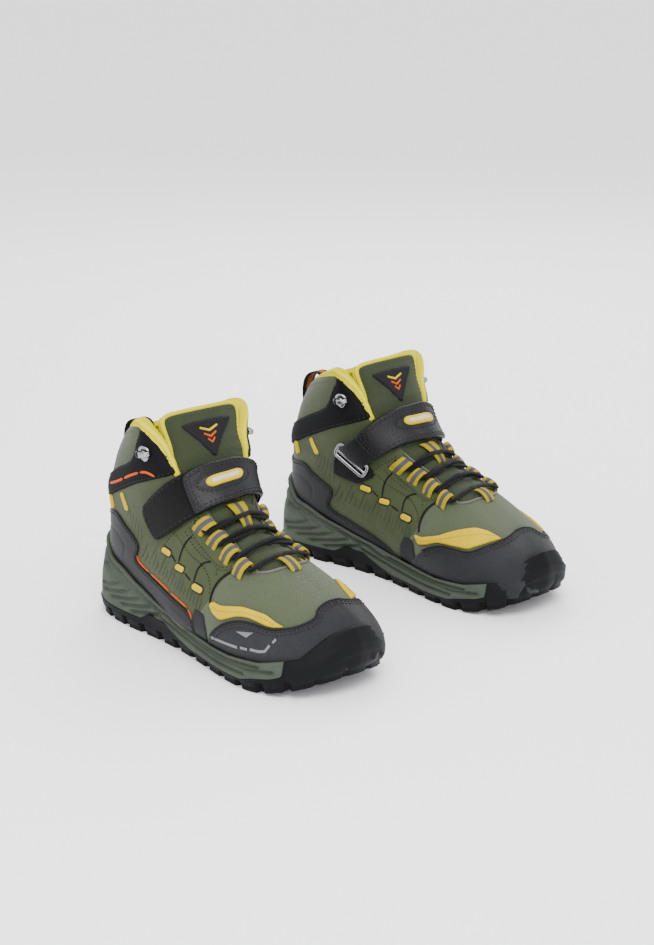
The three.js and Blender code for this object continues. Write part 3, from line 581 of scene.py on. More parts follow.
def shift(path, d, closed=False):
    """(t, h) path moved by d mm to its left, measured on the surface"""
    path = np.asarray(path, float)
    t, h = path[:, 0], path[:, 1]
    P = S(t, h)
    if closed:
        T = np.roll(P, -1, 0) - np.roll(P, 1, 0)
    else:
        T = np.gradient(P, axis=0)
    n = N(t, h)
    Bv = np.cross(n, T) * NSIGN
    Bv /= np.linalg.norm(Bv, axis=1, keepdims=True) + 1e-9
    dt, dh = grads(t, h)
    a, b, c = (dt * dt).sum(1), (dt * dh).sum(1), (dh * dh).sum(1)
    p, q = (dt * Bv).sum(1) * d, (dh * Bv).sum(1) * d
    det = a * c - b * b + 1e-9
    return np.stack([t + (p * c - q * b) / det, h + (a * q - b * p) / det], 1)


def area2(P):
    x, y = P[:, 0], P[:, 1]
    return .5 * (x * np.roll(y, -1) - y * np.roll(x, -1)).sum()


def inside(poly, pts):
    x, y = pts[:, 0], pts[:, 1]
    r = np.zeros(len(pts), bool)
    n = len(poly)
    for i in range(n):
        x0, y0 = poly[i]
        x1, y1 = poly[(i + 1) % n]
        c = (y0 > y) != (y1 > y)
        if y1 != y0:
            r ^= c & (x < (x1 - x0) * (y - y0) / (y1 - y0) + x0)
    return r


def dist_poly(P, Q):
    """3-D distance from each P to the nearest point of the dense polyline Q"""
    out = np.full(len(P), 1e9)
    for i in range(0, len(P), 4000):
        d = np.linalg.norm(P[i:i + 4000, None] - Q[None], axis=2)
        out[i:i + 4000] = d.min(1)
    return out


def panel_mesh(poly, step=2.0, bstep=1.4, holes=()):
    """triangulates an outline given in (t, h); returns the flat net and the distance to the edge"""
    b = resample(poly, bstep, closed=True)
    if area2(b) < 0:
        b = b[::-1]
    rings = [shift(b, d * NSIGN, True) for d in (.45, 1.1)]
    Bs = S(b[:, 0], b[:, 1])
    t0, h0 = b.min(0)
    t1, h1 = b.max(0)
    # interior points, about step apart on the surface
    ts = np.linspace(t0, t1, 400)
    hm = (h0 + h1) / 2
    pts = []
    tt = t0 + .01
    k = 0
    while tt < t1:
        hs = np.linspace(h0, h1, 200)
        P = S(np.full(200, tt), hs)
        L = seg_len(P)
        n = max(int(L[-1] / step), 1)
        q = (np.arange(n) + (.5 if k % 2 else 0)) * step
        pts.append(np.stack([np.full(n, tt), np.interp(q, L, hs)], 1))
        g, _ = grads(np.array([tt]), np.array([hm]))
        tt += step * .9 / max(np.linalg.norm(g[0]), 3)
        k += 1
    pts = np.vstack(pts)
    pts = pts[inside(b, pts)]
    d = dist_poly(S(pts[:, 0], pts[:, 1]), Bs)
    pts = pts[d > 1.1 + step * .45]
    keep = []
    for r, dd in zip(rings, (.45, 1.1)):
        r = r[inside(b, r)]
        if len(r):
            dr = dist_poly(S(r[:, 0], r[:, 1]), Bs)
            keep.append(r[dr > dd * .7])
    if len(keep) == 2 and len(keep[0]) and len(keep[1]):
        pass
    A = np.vstack([b] + keep + [pts])
    sc_ = np.array([14.0, 11.5])
    vs, es, fs, ov, oe, of_ = delaunay_2d_cdt([Vector(p) for p in (A * sc_).tolist()], [], [list(range(len(b)))], 1, 1e-6)
    V = np.array([tuple(v) for v in vs]) / sc_
    F = [tuple(f) for f in fs if len(set(f)) == 3]
    D = dist_poly(S(V[:, 0], V[:, 1]), Bs)
    return V, F, D


def boundary_edges(F):
    cnt = {}
    for f in F:
        for a, b in ((f[0], f[1]), (f[1], f[2]), (f[2], f[0])):
            key = (min(a, b), max(a, b))
            cnt[key] = cnt.get(key, 0) + 1
            if cnt[key] == 1:
                cnt[("d",) + key] = (a, b)
    return [cnt[("d",) + k] for k in list(cnt) if len(k) == 2 and cnt[k] == 1]


def patch(side, name, poly, w0, w1, mat, body="boot", step=2.0, bstep=1.4, edge=1.0, feat=None, node=None, start=.3, under=None, mapping=None):
    V, F, D = panel_mesh(poly, step, bstep)
    prof = start + (1 - start) * np.sqrt(np.clip(1 - (1 - np.clip(D / edge, 0, 1)) ** 2, 0, 1))
    w0v = np.full(len(V), float(w0)) if under is None else under(V[:, 0], V[:, 1])
    top = w0v + (w1 - w0) * prof
    P0 = S(V[:, 0], V[:, 1])
    if feat is not None:
        top = top + feat(V[:, 0], V[:, 1], P0, D)
    n = N(V[:, 0], V[:, 1])
    A = P0 + n * top[:, None]
    B = P0 + n * w0v[:, None]
    k = len(V)
    faces = [tuple(f) for f in F] + [(f[2] + k, f[1] + k, f[0] + k) for f in F]
    for a, b in boundary_edges(F):
        faces.append((b, a, a + k, b + k))
    pp = np.stack([V[:, 0] * 14, V[:, 1] * 11.5], 1)
    ed = np.clip(D / 3, 0, 1)
    return finish_mesh(side, name, np.vstack([A, B]), faces, mat, body, np.vstack([pp, pp]), np.concatenate([ed, ed]), node)


def frames(P, closed=False):
    P = np.asarray(P, float)
    T = (np.roll(P, -1, 0) - np.roll(P, 1, 0)) if closed else np.gradient(P, axis=0)
    T /= np.linalg.norm(T, axis=1, keepdims=True) + 1e-12
    return T


def sweep(side, name, P, Nn, section, mat, body="boot", closed=False, node=None, scale=None, raw=False):
    """section: (k, 2) loop in (side, normal) millimetres; Nn the normal at each point"""
    P = np.asarray(P, float)
    T = frames(P, closed)
    Nn = np.asarray(Nn, float)
    Bv = np.cross(Nn, T)
    Bv /= np.linalg.norm(Bv, axis=1, keepdims=True) + 1e-12
    Nn = np.cross(T, Bv)
    sec = np.asarray(section, float)
    k, n = len(sec), len(P)
    scl = np.ones(n) if scale is None else np.asarray(scale)
    V = (P[:, None] + Bv[:, None] * sec[None, :, :1] * scl[:, None, None] + Nn[:, None] * sec[None, :, 1:] * scl[:, None, None]).reshape(-1, 3)
    L = seg_len(P)
    pp = np.stack([np.tile(sec[:, 0], n), np.repeat(L, k)], 1)
    F = []
    for i in range(n if closed else n - 1):
        a, b = i * k, ((i + 1) % n) * k
        for j in range(k):
            j2 = (j + 1) % k
            F.append((a + j, a + j2, b + j2, b + j))
    if not closed:
        F.append(tuple(range(k))[::-1])
        F.append(tuple((n - 1) * k + j for j in range(k)))
    if raw:
        return V, F, pp
    return finish_mesh(side, name, V, F, mat, body, pp, None, node)


def circle(r, k=10, ry=None):
    a = np.arange(k) * 2 * math.pi / k
    return np.stack([np.cos(a) * r, np.sin(a) * (ry or r)], 1)


def flat_sec(wd, th, r=None):
    """rounded flat section: width wd, thickness th"""
    r = r or th * .45
    x, y = wd / 2, th / 2
    return np.array([(-x, -y + r), (-x + r * .4, -y + r * .3), (-x + r, -y), (-x / 2, -y), (0, -y), (x / 2, -y), (x - r, -y), (x - r * .4, -y + r * .3), (x, -y + r),
                     (x, y - r), (x - r * .4, y - r * .3), (x - r, y), (x / 2, y), (0, y), (-x / 2, y), (-x + r, y), (-x + r * .4, y - r * .3), (-x, y - r)])


def spline(P, n):
    """Catmull-Rom through 3-D or (t, h, w) points"""
    P = np.asarray(P, float)
    m = len(P)
    u = np.linspace(0, m - 1 - 1e-9, n)
    i = np.floor(u).astype(int)
    f = (u - i)[:, None]
    g = lambda j: P[np.clip(j, 0, m - 1)]
    p0 = np.where((i == 0)[:, None], 2 * g(i) - g(i + 1), g(i - 1))
    p3 = np.where((i >= m - 2)[:, None], 2 * g(i + 1) - g(i), g(i + 2))
    p1, p2 = g(i), g(i + 1)
    return .5 * (2 * p1 + (p2 - p0) * f + (2 * p0 - 5 * p1 + 4 * p2 - p3) * f ** 2 + (3 * p1 - p0 - 3 * p2 + p3) * f ** 3)


def line_on(side, name, path, w, r, mat, body="boot", flat=1.0, n=None, taper=True, step=1.2):
    """a cord, piping or raised line that lies on the surface"""
    q = resample(path, step)
    P = skin(q[:, 0], q[:, 1], np.full(len(q), w))
    Nn = N(q[:, 0], q[:, 1])
    s = np.ones(len(q))
    if taper:
        s[0] = s[-1] = .45
        if len(s) > 4:
            s[1] = s[-2] = .85
    return sweep(side, name, P, Nn, circle(r, 8, r * flat), mat, body, scale=s)


def stitches(side, name, paths, w, mat, body="boot", length=2.1, gap=1.3, r=.34, wf=None):
    """every stitch is a small rounded thread sunk at both ends"""
    Vs, Fs = [], []
    k0 = 0
    ring = circle(1, 6)
    prof = [(0, -.35, .3), (.12, .15, .75), (.5, .42, 1.0), (.88, .15, .75), (1, -.35, .3)]
    for path in paths:
        q = resample(path, .4)
        P = S(q[:, 0], q[:, 1])
        L = seg_len(P)
        s = gap / 2
        while s + length < L[-1]:
            a = np.array([np.interp(s, L, q[:, 0]), np.interp(s, L, q[:, 1])])
            b = np.array([np.interp(s + length, L, q[:, 0]), np.interp(s + length, L, q[:, 1])])
            ww = w if wf is None else wf(a[0], a[1])
            A, B = skin(np.array([a[0], b[0]]), np.array([a[1], b[1]]), np.array([ww, ww]))
            nn = N(np.array([a[0]]), np.array([a[1]]))[0]
            d = B - A
            d /= np.linalg.norm(d) + 1e-9
            x = np.cross(nn, d)
            for f, z, rr in prof:
                c = A + (B - A) * f + nn * z * r
                Vs.append(c + r * rr * (ring[:, :1] * x + ring[:, 1:] * nn))
            for i in range(4):
                for j in range(6):
                    j2 = (j + 1) % 6
                    o = k0 + i * 6
                    Fs.append((o + j, o + j2, o + 6 + j2, o + 6 + j))
            Fs.append(tuple(k0 + j for j in range(6))[::-1])
            Fs.append(tuple(k0 + 24 + j for j in range(6)))
            k0 += 30
            s += length + gap
    if not Vs:
        return None
    return finish_mesh(side, name, np.vstack(Vs), Fs, mat, body, recalc=False if side == "x" else True)


def dots(side, name, pts, w, r, mat, body="boot", hgt=.35):
    """small pressed dots: flattened domes"""
    Vs, Fs = [], []
    k0 = 0
    for t, h in pts:
        p = skin(np.array([t]), np.array([h]), np.array([w]))[0]
        n = N(np.array([t]), np.array([h]))[0]
        x = np.cross(n, (0.3, 1, 0.1))
        x /= np.linalg.norm(x)
        y = np.cross(n, x)
        c = circle(1, 8)
        for rr, z in ((1, -.6), (1, .05), (.6, hgt)):
            Vs.append(p + r * rr * (c[:, :1] * x + c[:, 1:] * y) + n * z * r)
        for i in range(2):
            for j in range(8):
                j2 = (j + 1) % 8
                Fs.append((k0 + i * 8 + j, k0 + i * 8 + j2, k0 + i * 8 + 8 + j2, k0 + i * 8 + 8 + j))
        Fs.append(tuple(k0 + j for j in range(8))[::-1])
        Fs.append(tuple(k0 + 16 + j for j in range(8)))
        k0 += 24
    return finish_mesh(side, name, np.vstack(Vs), Fs, mat, body)


def groove(lines, depth, width, every=.7):
    """a feature that presses lines (t, h paths) into a panel; positive depth raises them"""
    Q = [S(*resample(l, every).T) for l in lines]
    Q = np.vstack(Q)

    def f(t, h, P, D):
        d = dist_poly(P, Q)
        return depth * np.exp(-(d / width) ** 2)
    return f


def feats(*fs):
    return lambda t, h, P, D: sum(f(t, h, P, D) for f in fs)


def mirror(path):
    return [(t, 16 - h) for t, h in path]


def local(t, h, pts, rot=0.0):
    """points given in millimetres on the surface round (t, h): x toward the collar, y toward rising girth; returns (t, h)"""
    c = S(np.array([t]), np.array([h]))[0]
    dt, dh = grads(np.array([t]), np.array([h]))
    dt, dh = dt[0], dh[0]
    X = dt / np.linalg.norm(dt)
    Y = dh - X * (dh @ X)
    Y /= np.linalg.norm(Y)
    co, si = math.cos(math.radians(rot)), math.sin(math.radians(rot))
    out = []
    a, b, d = dt @ dt, dt @ dh, dh @ dh
    det = a * d - b * b
    for x, y in pts:
        v = (x * co - y * si) * X + (x * si + y * co) * Y
        p, q = v @ dt, v @ dh
        out.append((t + (p * d - q * b) / det, h + (a * q - b * p) / det))
    return out


def round_poly(pts, r=3.0):
    """an outline whose corners are rounded by r millimetres"""
    P = np.asarray(pts, float)
    out = []
    n = len(P)
    for i in range(n):
        a, p, b = P[i - 1], P[i], P[(i + 1) % n]
        q = S(np.array([a[0], p[0], b[0]]), np.array([a[1], p[1], b[1]]))
        la, lb = np.linalg.norm(q[0] - q[1]), np.linalg.norm(q[2] - q[1])
        A, B = p + (a - p) * min(.45, r / max(la, .1)), p + (b - p) * min(.45, r / max(lb, .1))
        for k in (0, .33, .67, 1):
            out.append((1 - k) ** 2 * A + 2 * k * (1 - k) * p + k * k * B)
    return np.array(out)


def band(path, w):
    """the outline of a strip of width w along a path"""
    q = resample(path, 1.0)
    return np.vstack([shift(q, w / 2), shift(q, -w / 2)[::-1]])


def lines_on(side, name, paths, w, r, mat, body="boot", flat=1.0, step=1.4):
    Vs, Fs = [], []
    k0 = 0
    for path in paths:
        q = resample(path, step)
        s_ = np.ones(len(q))
        s_[0] = s_[-1] = .35
        if len(s_) > 4:
            s_[1] = s_[-2] = .8
        V, F, _ = sweep(side, "", skin(q[:, 0], q[:, 1], np.full(len(q), w)), N(q[:, 0], q[:, 1]), circle(r, 8, r * flat), mat, scale=s_, raw=True)
        Vs.append(V)
        Fs += [tuple(i + k0 for i in f) for f in F]
        k0 += len(V)
    return finish_mesh(side, name, np.vstack(Vs), Fs, mat, body)


def capsule(L, W, n=10):
    r = W / 2
    x = L / 2 - r
    a = np.linspace(-math.pi / 2, math.pi / 2, n)
    return [(x + r * math.cos(i), r * math.sin(i)) for i in a] + [(-x - r * math.cos(i), r * math.sin(i)) for i in a[::-1]]


def leaf(L, W, n=9):
    a = np.linspace(0, 1, n)
    up = [(L * (k - .5), W / 2 * (math.sin(math.pi * k) ** .7)) for k in a]
    return up[:-1] + [(x, -y) for x, y in up[::-1][:-1]]


def inner(path, d, poly, closed=False):
    """the line d mm inside the outline poly"""
    path = np.asarray(path, float)
    q = shift(path, d, closed)
    m = len(q) // 2
    ok = inside(np.asarray(poly, float), q).mean()
    q2 = shift(path, -d, closed)
    return q if ok >= inside(np.asarray(poly, float), q2).mean() else q2


def solid(side, name, P, thick, mat, body="boot", node=None, pp=None, edge=True, two=False, mats=None, ffn=None):
    """a closed sheet of the given thickness about a grid of points (m, n, 3)"""
    m, n = P.shape[:2]
    du, dv = np.gradient(P, axis=0), np.gradient(P, axis=1)
    nn = np.cross(du, dv)
    nn /= np.linalg.norm(nn, axis=2, keepdims=True) + 1e-9
    th = np.full((m, n), thick / 2.0)
    if edge:
        th[0], th[-1], th[:, 0], th[:, -1] = thick * .22, thick * .22, thick * .22, thick * .22
    A, B = (P + nn * th[..., None]).reshape(-1, 3), (P - nn * th[..., None]).reshape(-1, 3)
    k = m * n
    F = []
    for i in range(m - 1):
        for j in range(n - 1):
            a = i * n + j
            F.append((a, a + 1, a + n + 1, a + n))
            F.append((a + k, a + n + k, a + n + 1 + k, a + 1 + k))
    rim = [j for j in range(n)] + [i * n + n - 1 for i in range(1, m)] + [(m - 1) * n + j for j in range(n - 2, -1, -1)] + [i * n for i in range(m - 2, 0, -1)]
    for a, b in zip(rim, rim[1:] + rim[:1]):
        F.append((b, a, a + k, b + k))
    if pp is None:
        Lu = np.cumsum(np.linalg.norm(np.diff(P, axis=0, prepend=P[:1]), axis=2), axis=0)
        Lv = np.cumsum(np.linalg.norm(np.diff(P, axis=1, prepend=P[:, :1]), axis=2), axis=1)
        Lv = Lv - Lv[:, -1:] / 2
        pp = np.stack([Lv, Lu], 2).reshape(-1, 2)
    return finish_mesh(side, name, np.vstack([A, B]), F, mat, body, np.vstack([pp, pp]), None, node, mats=mats)


def lathe(side, name, centre, axis, prof, mat, body="boot", n=20, squash=(1, 1), xdir=None):
    axis = np.asarray(axis, float)
    axis /= np.linalg.norm(axis)
    x = np.cross(axis, (0.2, .3, 1) if xdir is None else np.cross(xdir, axis))
    x /= np.linalg.norm(x)
    y = np.cross(axis, x)
    V, F = [], []
    for r, z in prof:
        for k in range(n):
            a = 2 * math.pi * k / n
            V.append(centre + axis * z + x * r * math.cos(a) * squash[0] + y * r * math.sin(a) * squash[1])
    m = len(prof)
    for i in range(m - 1):
        for k in range(n):
            k2 = (k + 1) % n
            F.append((i * n + k, i * n + k2, i * n + n + k2, i * n + n + k))
    F.append(tuple(range(n))[::-1])
    F.append(tuple((m - 1) * n + k for k in range(n)))
    return finish_mesh(side, name, np.array(V), F, mat, body)


# ------------------------------------------------------------------ pattern pieces
FRONT_EDGE = [(5.4, 6.1), (6.3, 6.3), (7.5, 6.35), (8.65, 6.45), (10.45, 6.35), (11.85, 6.25), (12.55, 6.15), (13.1, 5.95), (13.6, 5.7), (14, 5.3)]
VAMP_LINE = [(6, 1.2), (6, 3.0), (5.75, 4.15), (5.78, 4.75), (5.72, 5.25), (5.57, 5.55), (5.5, 5.77), (5.08, 5.95)]
VAMP = [(1, 1.2)] + [(t + .06, h) for t, h in VAMP_LINE] + [(4.8, 6.3), (4.7, 7), (4.7, 9), (4.8, 9.7)] + [(t + .06, 16 - h) for t, h in VAMP_LINE][::-1] + [(1, 14.8)]
QUARTER = VAMP_LINE + FRONT_EDGE + [(14, 0), (9.6, 0), (9.35, 1.2)]
LINING_EDGE = [(t, h - .12) for t, h in FRONT_EDGE]
TONGUE_OUT = [(4.4, 7.1), (4.4, 8.9), (4.7, 9.9), (5.3, 10.1), (6.3, 10.05), (7.5, 10.0), (8.65, 9.9), (10.0, 9.8), (10.8, 9.62), (11.85, 9.5), (12.55, 9.5), (13.1, 9.52), (13.6, 9.52), (13.9, 9.4),
              (14, 9.1), (14, 8), (14, 6.9), (13.9, 6.6), (13.6, 6.48), (13.1, 6.48), (12.55, 6.5), (11.85, 6.5), (10.8, 6.38), (10.0, 6.2), (8.65, 6.1), (7.5, 6.0), (6.3, 5.95), (5.3, 5.9), (4.7, 6.1)]
TOE_TOP = [(5.6, 2.05), (5.35, 2.8), (5.05, 3.55), (4.55, 4.1), (4.05, 4.3), (3.6, 4.35), (3.35, 4.5), (2.95, 4.9), (2.7, 5.45),
           (2.65, 5.9), (2.85, 6.3), (2.9, 7.2), (2.9, 8.7), (2.8, 9.65), (2.95, 10.35), (3.3, 11.05), (3.65, 11.65), (4.2, 11.8), (4.8, 12.05),
           (5.3, 12.65), (5.65, 13.45), (5.7, 13.75)]
TOE_CAP = [(.5, 1.45), (5.6, 1.45)] + TOE_TOP + [(5.6, 14.55), (.5, 14.55)]
TRIM_OUTER = [(5.68, 3.95), (5.65, 4.15), (5.3, 4.2), (4.6, 4.65), (3.9, 4.85), (3.45, 4.75), (3.2, 4.74), (3.45, 4.52), (3.65, 4.45), (4.3, 4.4), (4.65, 4.2), (5.1, 3.7), (5.4, 3.75)]
TRIM_INNER = [(5.8, 12.2), (5.5, 12.15), (4.9, 11.65), (4.45, 11.05), (3.95, 10.45), (3.5, 10.2), (2.95, 10.1), (3.05, 10.3), (3.4, 10.95),
              (3.75, 11.5), (4.25, 11.7), (4.85, 11.95), (5.2, 12.3), (5.5, 12.5)]
RAND_OUT = [(5.85, 1.45), (6.0, 2.05), (6.1, 2.9), (6.35, 3.15), (6.9, 3.15), (7.6, 3.15), (8.4, 3.2), (8.95, 3.35), (9.0, 3.65), (9.2, 3.87), (9.85, 3.95), (10.7, 3.6), (11.1, 2.9), (11.3, 1.5), (11.35, 0)]
RAND_IN = [(11.3, -1.5), (10.85, -2.95), (10.55, -3.5), (9.9, -3.75), (9.05, -3.8), (8.85, -3.6), (8.8, -3.2), (8.55, -2.95), (7.95, -2.8), (7.3, -2.65), (6.6, -2.45), (6.15, -1.95), (5.85, -1.45)]
COUNTER = RAND_OUT + RAND_IN + [(9.3, -1.45), (9.6, -.7), (9.65, 0), (9.6, .7), (9.3, 1.45)]
ANKLE_OUT = [(11.6, 0), (11.58, 2), (11.5, 3.45), (11.2, 4.65), (10.85, 5.5), (10.55, 6.25), (10.6, 6.42), (11.75, 6.4), (12.5, 6.3), (13.05, 6.1), (13.75, 5.6),
             (13.15, 5.15), (12.8, 5.05), (12.3, 4.9), (12.15, 4.65), (12.3, 3.6), (12.3, 2)]
ANKLE = ANKLE_OUT + [(12.3, 0)] + [(t, -h) for t, h in ANKLE_OUT[1:]][::-1]
EYESTAY = [(5.2, 5.9), (5.5, 6.0), (6.3, 6.2), (7.5, 6.25), (8.3, 6.3), (8.3, 5.45), (7.5, 5.2), (6.5, 5.1), (6.05, 5.15), (5.7, 5.6)]
LOOP_T = [7.9, 7.08, 6.25, 5.5]
STRAP_LOW = [(10.2, 4.75), (9.5, 4.5), (8.85, 4.45), (8.65, 4.8), (8.45, 5.9), (8.4, 7.0), (8.4, 8.0), (8.5, 9.0), (8.7, 10.2), (8.75, 10.6),
             (10.1, 10.4), (10.35, 9.6), (10.5, 8.5), (10.55, 7.05), (10.45, 6.0), (10.35, 5.3)]
STRAP_FREE = [(9.95, 6.2), (9.6, 6.1), (8.9, 6.15), (8.6, 6.4), (8.42, 7.0), (8.4, 8.0), (8.5, 9.0), (8.68, 10.1), (8.72, 10.42), (10.12, 10.28), (10.35, 9.6),
              (10.5, 8.5), (10.5, 7.05), (10.3, 6.4)]
RING_TAB = [(9.95, 10.95), (9.75, 11.45), (9.3, 11.65), (8.6, 11.5), (8.4, 11.1), (8.6, 10.95)]
PATCH = [(12.9, 7.1), (12.98, 8), (12.9, 8.95), (11, 8.15), (10.95, 7.9)]
FOOTBED = [(1.2, -.8), (1.2, .8), (2, 1.15), (8.7, 1.2), (9.1, .9), (9.25, 0), (9.1, -.9), (8.7, -1.2), (2, -1.15)]
WS, WO = 1.5, 2.6      # tops of the shell and of the overlays
SEC_LINES_OUT = [[(7.6, 4.35), (7.86, 4.8), (7.96, 5.2), (7.88, 5.6)], [(6.65, 4.2), (6.9, 4.75), (6.7, 5.1), (6.25, 5.4), (5.85, 5.45)], [(8.0, 4.4), (7.72, 4.3)], [(7.15, 4.22), (6.8, 4.18)]]


def upper(side):
    A = {"side": side}
    lat = 1
    # vamp
    v = smooth_line(VAMP, True, 1)
    patch(side, "vamp_panel", v, .2, WS, "vamp", step=2.2, node="vamp", edge=1.2)
    line_on(side, "throat_piping", smooth_line([(5.5, 5.72), (5.08, 5.93), (4.83, 6.3), (4.72, 7), (4.68, 8), (4.72, 9), (4.83, 9.7), (5.08, 10.07), (5.5, 10.28)], False, 2), 1.5, 1.15, "tan", flat=.8)
    # quarters
    ribs = [[(t, 3.2), (t + .12, 3.75), (t + .3, 4.4)] for t in np.arange(6.7, 9.0, .21)]
    back = [[(10.1, 4.1), (10.6, 3.9), (11.2, 3.3)], [(10.15, 4.5), (10.8, 4.2), (11.35, 3.7)]]
    seam = [[(5.78, 4.6), (6.4, 4.75), (7.6, 4.95), (8.6, 5.25), (10.2, 5.55)]]
    for sgn, nm in ((1, "outer"), (-1, "inner")):
        tr = (lambda L: L) if sgn == 1 else mirror
        q = np.array(QUARTER)
        if sgn < 0:
            q = np.stack([q[:, 0], 16 - q[:, 1]], 1)
        pad = lambda t, h, P, D: 1.5 * np.clip((t - 12.2) / .7, 0, 1) * np.clip(D / 5, 0, 1)
        patch(side, "quarter_" + nm + "_panel", q, .2, WS, "quarter", step=2.0, node="quarter_" + nm, edge=1.2,
              feat=feats(groove([tr(r) for r in ribs], .42, .55, .5), groove([tr(r) for r in back], .4, .8), groove([tr(r) for r in seam], -.35, .7), pad))
        e = smooth_line(tr(EYESTAY), True, 1)
        patch(side, "eyestay_" + nm + "_panel", e, 1.1, 2.5, "quarter", step=2.0, node="eyestay_" + nm, edge=1.0)
        cut = tr([(8.3, 5.45), (7.5, 5.2), (6.5, 5.1), (6.05, 5.15), (5.7, 5.6), (5.25, 5.86)])
        stitches(side, "eyestay_stitch_" + nm, [inner(smooth_line(cut, False, 2), 1.3, e)], 2.55, "thread_black", length=1.5, gap=1.2, r=.36)
        stitches(side, "eyestay_stitch_b_" + nm, [inner(smooth_line(cut, False, 2), -1.4, e)[4:-4]], 1.6, "thread_black", length=1.5, gap=1.6, r=.36)
        fr = smooth_line(tr([(5.5, 6.0), (6.3, 6.2), (7.5, 6.25), (8.3, 6.3)]), False, 2)
        line_on(side, "eyestay_edge_" + nm, fr, 2.2, .8, "tan")
        # seams drawn by a thin black cord
        for k, L in enumerate(SEC_LINES_OUT):
            line_on(side, "seam_cord_%s_%d" % (nm, k), smooth_line(tr(L), False, 2), 1.5, .62, "cord")
        vl = smooth_line(tr([(5.68, 3.95), (5.85, 4.4), (5.9, 4.8), (5.82, 5.2), (5.7, 5.5)]), False, 2)
        line_on(side, "vamp_seam_" + nm, vl, 1.55, .85, "cord")
        ss = smooth_line(tr([(5.9, 4.25), (6.05, 4.55), (6.6, 4.85), (7.45, 4.8), (8.1, 4.95), (8.6, 5.0)]), False, 2)
        s2 = smooth_line(tr([(6.1, 4.9), (6.3, 5.2), (6.9, 5.05), (7.5, 5.08), (8.3, 5.3)]), False, 2)
        s3 = smooth_line(tr([(8.45, 4.45), (8.5, 5.0), (8.38, 5.6), (8.33, 6.05)]), False, 2)
        stitches(side, "quarter_stitch_" + nm, [ss, s2, s3], 1.4, "thread_black", length=1.3, gap=1.3, r=.42)
        fan = []
        for k, t in enumerate(np.arange(5.98, 8.85, .155)):
            fan.append(tr([(t, 3.5 if t > 6.2 else 3.2), (t + .05, 3.8), (t + .16, 4.1 + .22 * math.sin(k * 2.1))]))
        lines_on(side, "quarter_ribs_" + nm, fan, 1.35, .62, "rib_dark", flat=.9)
        fan = [tr([(t, 3.95 - .02 * k), (t + .25, 4.2), (t + .5, 4.35 + .08 * math.sin(k))]) for k, t in enumerate(np.arange(9.1, 10.3, .22))]
        lines_on(side, "quarter_ribs_b_" + nm, fan, 1.35, .5, "rib_dark", flat=.8)
        rf = tr([(6.06, 1.5), (5.55, 1.5), (5.5, 2.1), (5.5, 2.9), (5.72, 3.5), (6.12, 3.5), (6.2, 3.1), (6.1, 2.2)])
        patch(side, "rand_front_" + nm, round_poly(rf, 2), .9, 2.3, "counter", step=1.8, edge=.9)
        # small yellow leaf tabs
        tabs = [((8.22, 4.36), 9.5, 3.9, -6), ((7.42, 4.24), 9, 3.8, -9), ((6.4, 4.14), 10, 4.0, -8)]
        for k, (c, L, W_, a) in enumerate(tabs):
            c2 = tr([c])[0]
            rot = a if sgn == 1 else -a
            patch(side, "tab_base_%s_%d" % (nm, k), local(*c2, capsule(L + 2.4, W_ + 2.2), rot), 1.2, 1.95, "cap_dark", step=1.2, bstep=.9, edge=.5)
            patch(side, "tab_%s_%d" % (nm, k), local(*c2, capsule(L, W_), rot), 1.7, 2.75, "tab", step=1.2, bstep=.8, edge=.9)
            stitches(side, "tab_stitch_%s_%d" % (nm, k), [np.array(local(*c2, [(-L * .32, 0), (L * .32, 0)], rot))], 2.55, "thread_gold", length=1.1, gap=.8, r=.25)
        c = tr([(10.9, 4.02)])[0]
        patch(side, "collar_tab_" + nm, local(*c, capsule(13.5, 3.8), -24 if sgn == 1 else 24), 1.2, 2.7, "tab", step=1.3, bstep=.9, edge=1.0)
        c = tr([(11.3, 3.05)])[0]
        patch(side, "heel_accent_" + nm, local(*c, capsule(10, 4.2), -14 if sgn == 1 else 14), 1.2, 3.3, "tab", step=1.2, bstep=.8, edge=1.0)
        # lace hook
        hook(side, nm, *tr([(12.2, 5.6)])[0], sgn)
        # webbing loops
        for k, t in enumerate(LOOP_T):
            dh_ = [.1, .02, -.04, -.1][k] if sgn == 1 else [-.02, -.08, -.1, -.12][k]
            prof = [(5.42, 2.0), (5.48, 2.9), (5.56, 3.9), (5.65, 5.2), (5.78, 6.2), (5.92, 6.4), (6.05, 5.9), (6.12, 4.8), (6.13, 3.8), (6.08, 2.6)]
            hw = spline(prof, 30)
            hw[:, 0] += dh_
            wd = 8.9 - .15 * k
            gt = np.linalg.norm(grads(np.array([t]), np.array([5.8]))[0][0])
            us = np.linspace(-.5, .5, 9) * wd / gt
            P = np.stack([skin(np.full(30, t + u), hw[:, 0] if sgn == 1 else 16 - hw[:, 0], hw[:, 1] - .25 * abs(u * 4)) for u in us], 1)
            solid(side, "lace_loop_%s_%d" % (nm, k), P, 1.15, "web")
        if sgn == 1:
            sp = smooth_line(ANKLE, True, 1)
    # tongue: pad, lining, edge roll and stitching, built on the boot and then taken off every body
    to = smooth_line(TONGUE_OUT, True, 1)

    def puff(t, h, P, D):
        up = np.clip((t - 10.4) / .8, 0, 1)
        low = 2.4 * (.25 + .75 * np.sin(np.clip((t - 5.1) / .8, 0, 5) * math.pi) ** 2) * (1 - up)
        e = np.clip(D / 7, 0, 1)
        return (low + 1.6 * up) * np.sqrt(e) + .12 * np.cos(t * 36) * e
    w0 = skin(np.array([10.25]), np.array([8.0]), np.array([-1.2]))[0]
    w1 = skin(np.array([11.15]), np.array([8.0]), np.array([-1.2]))[0]

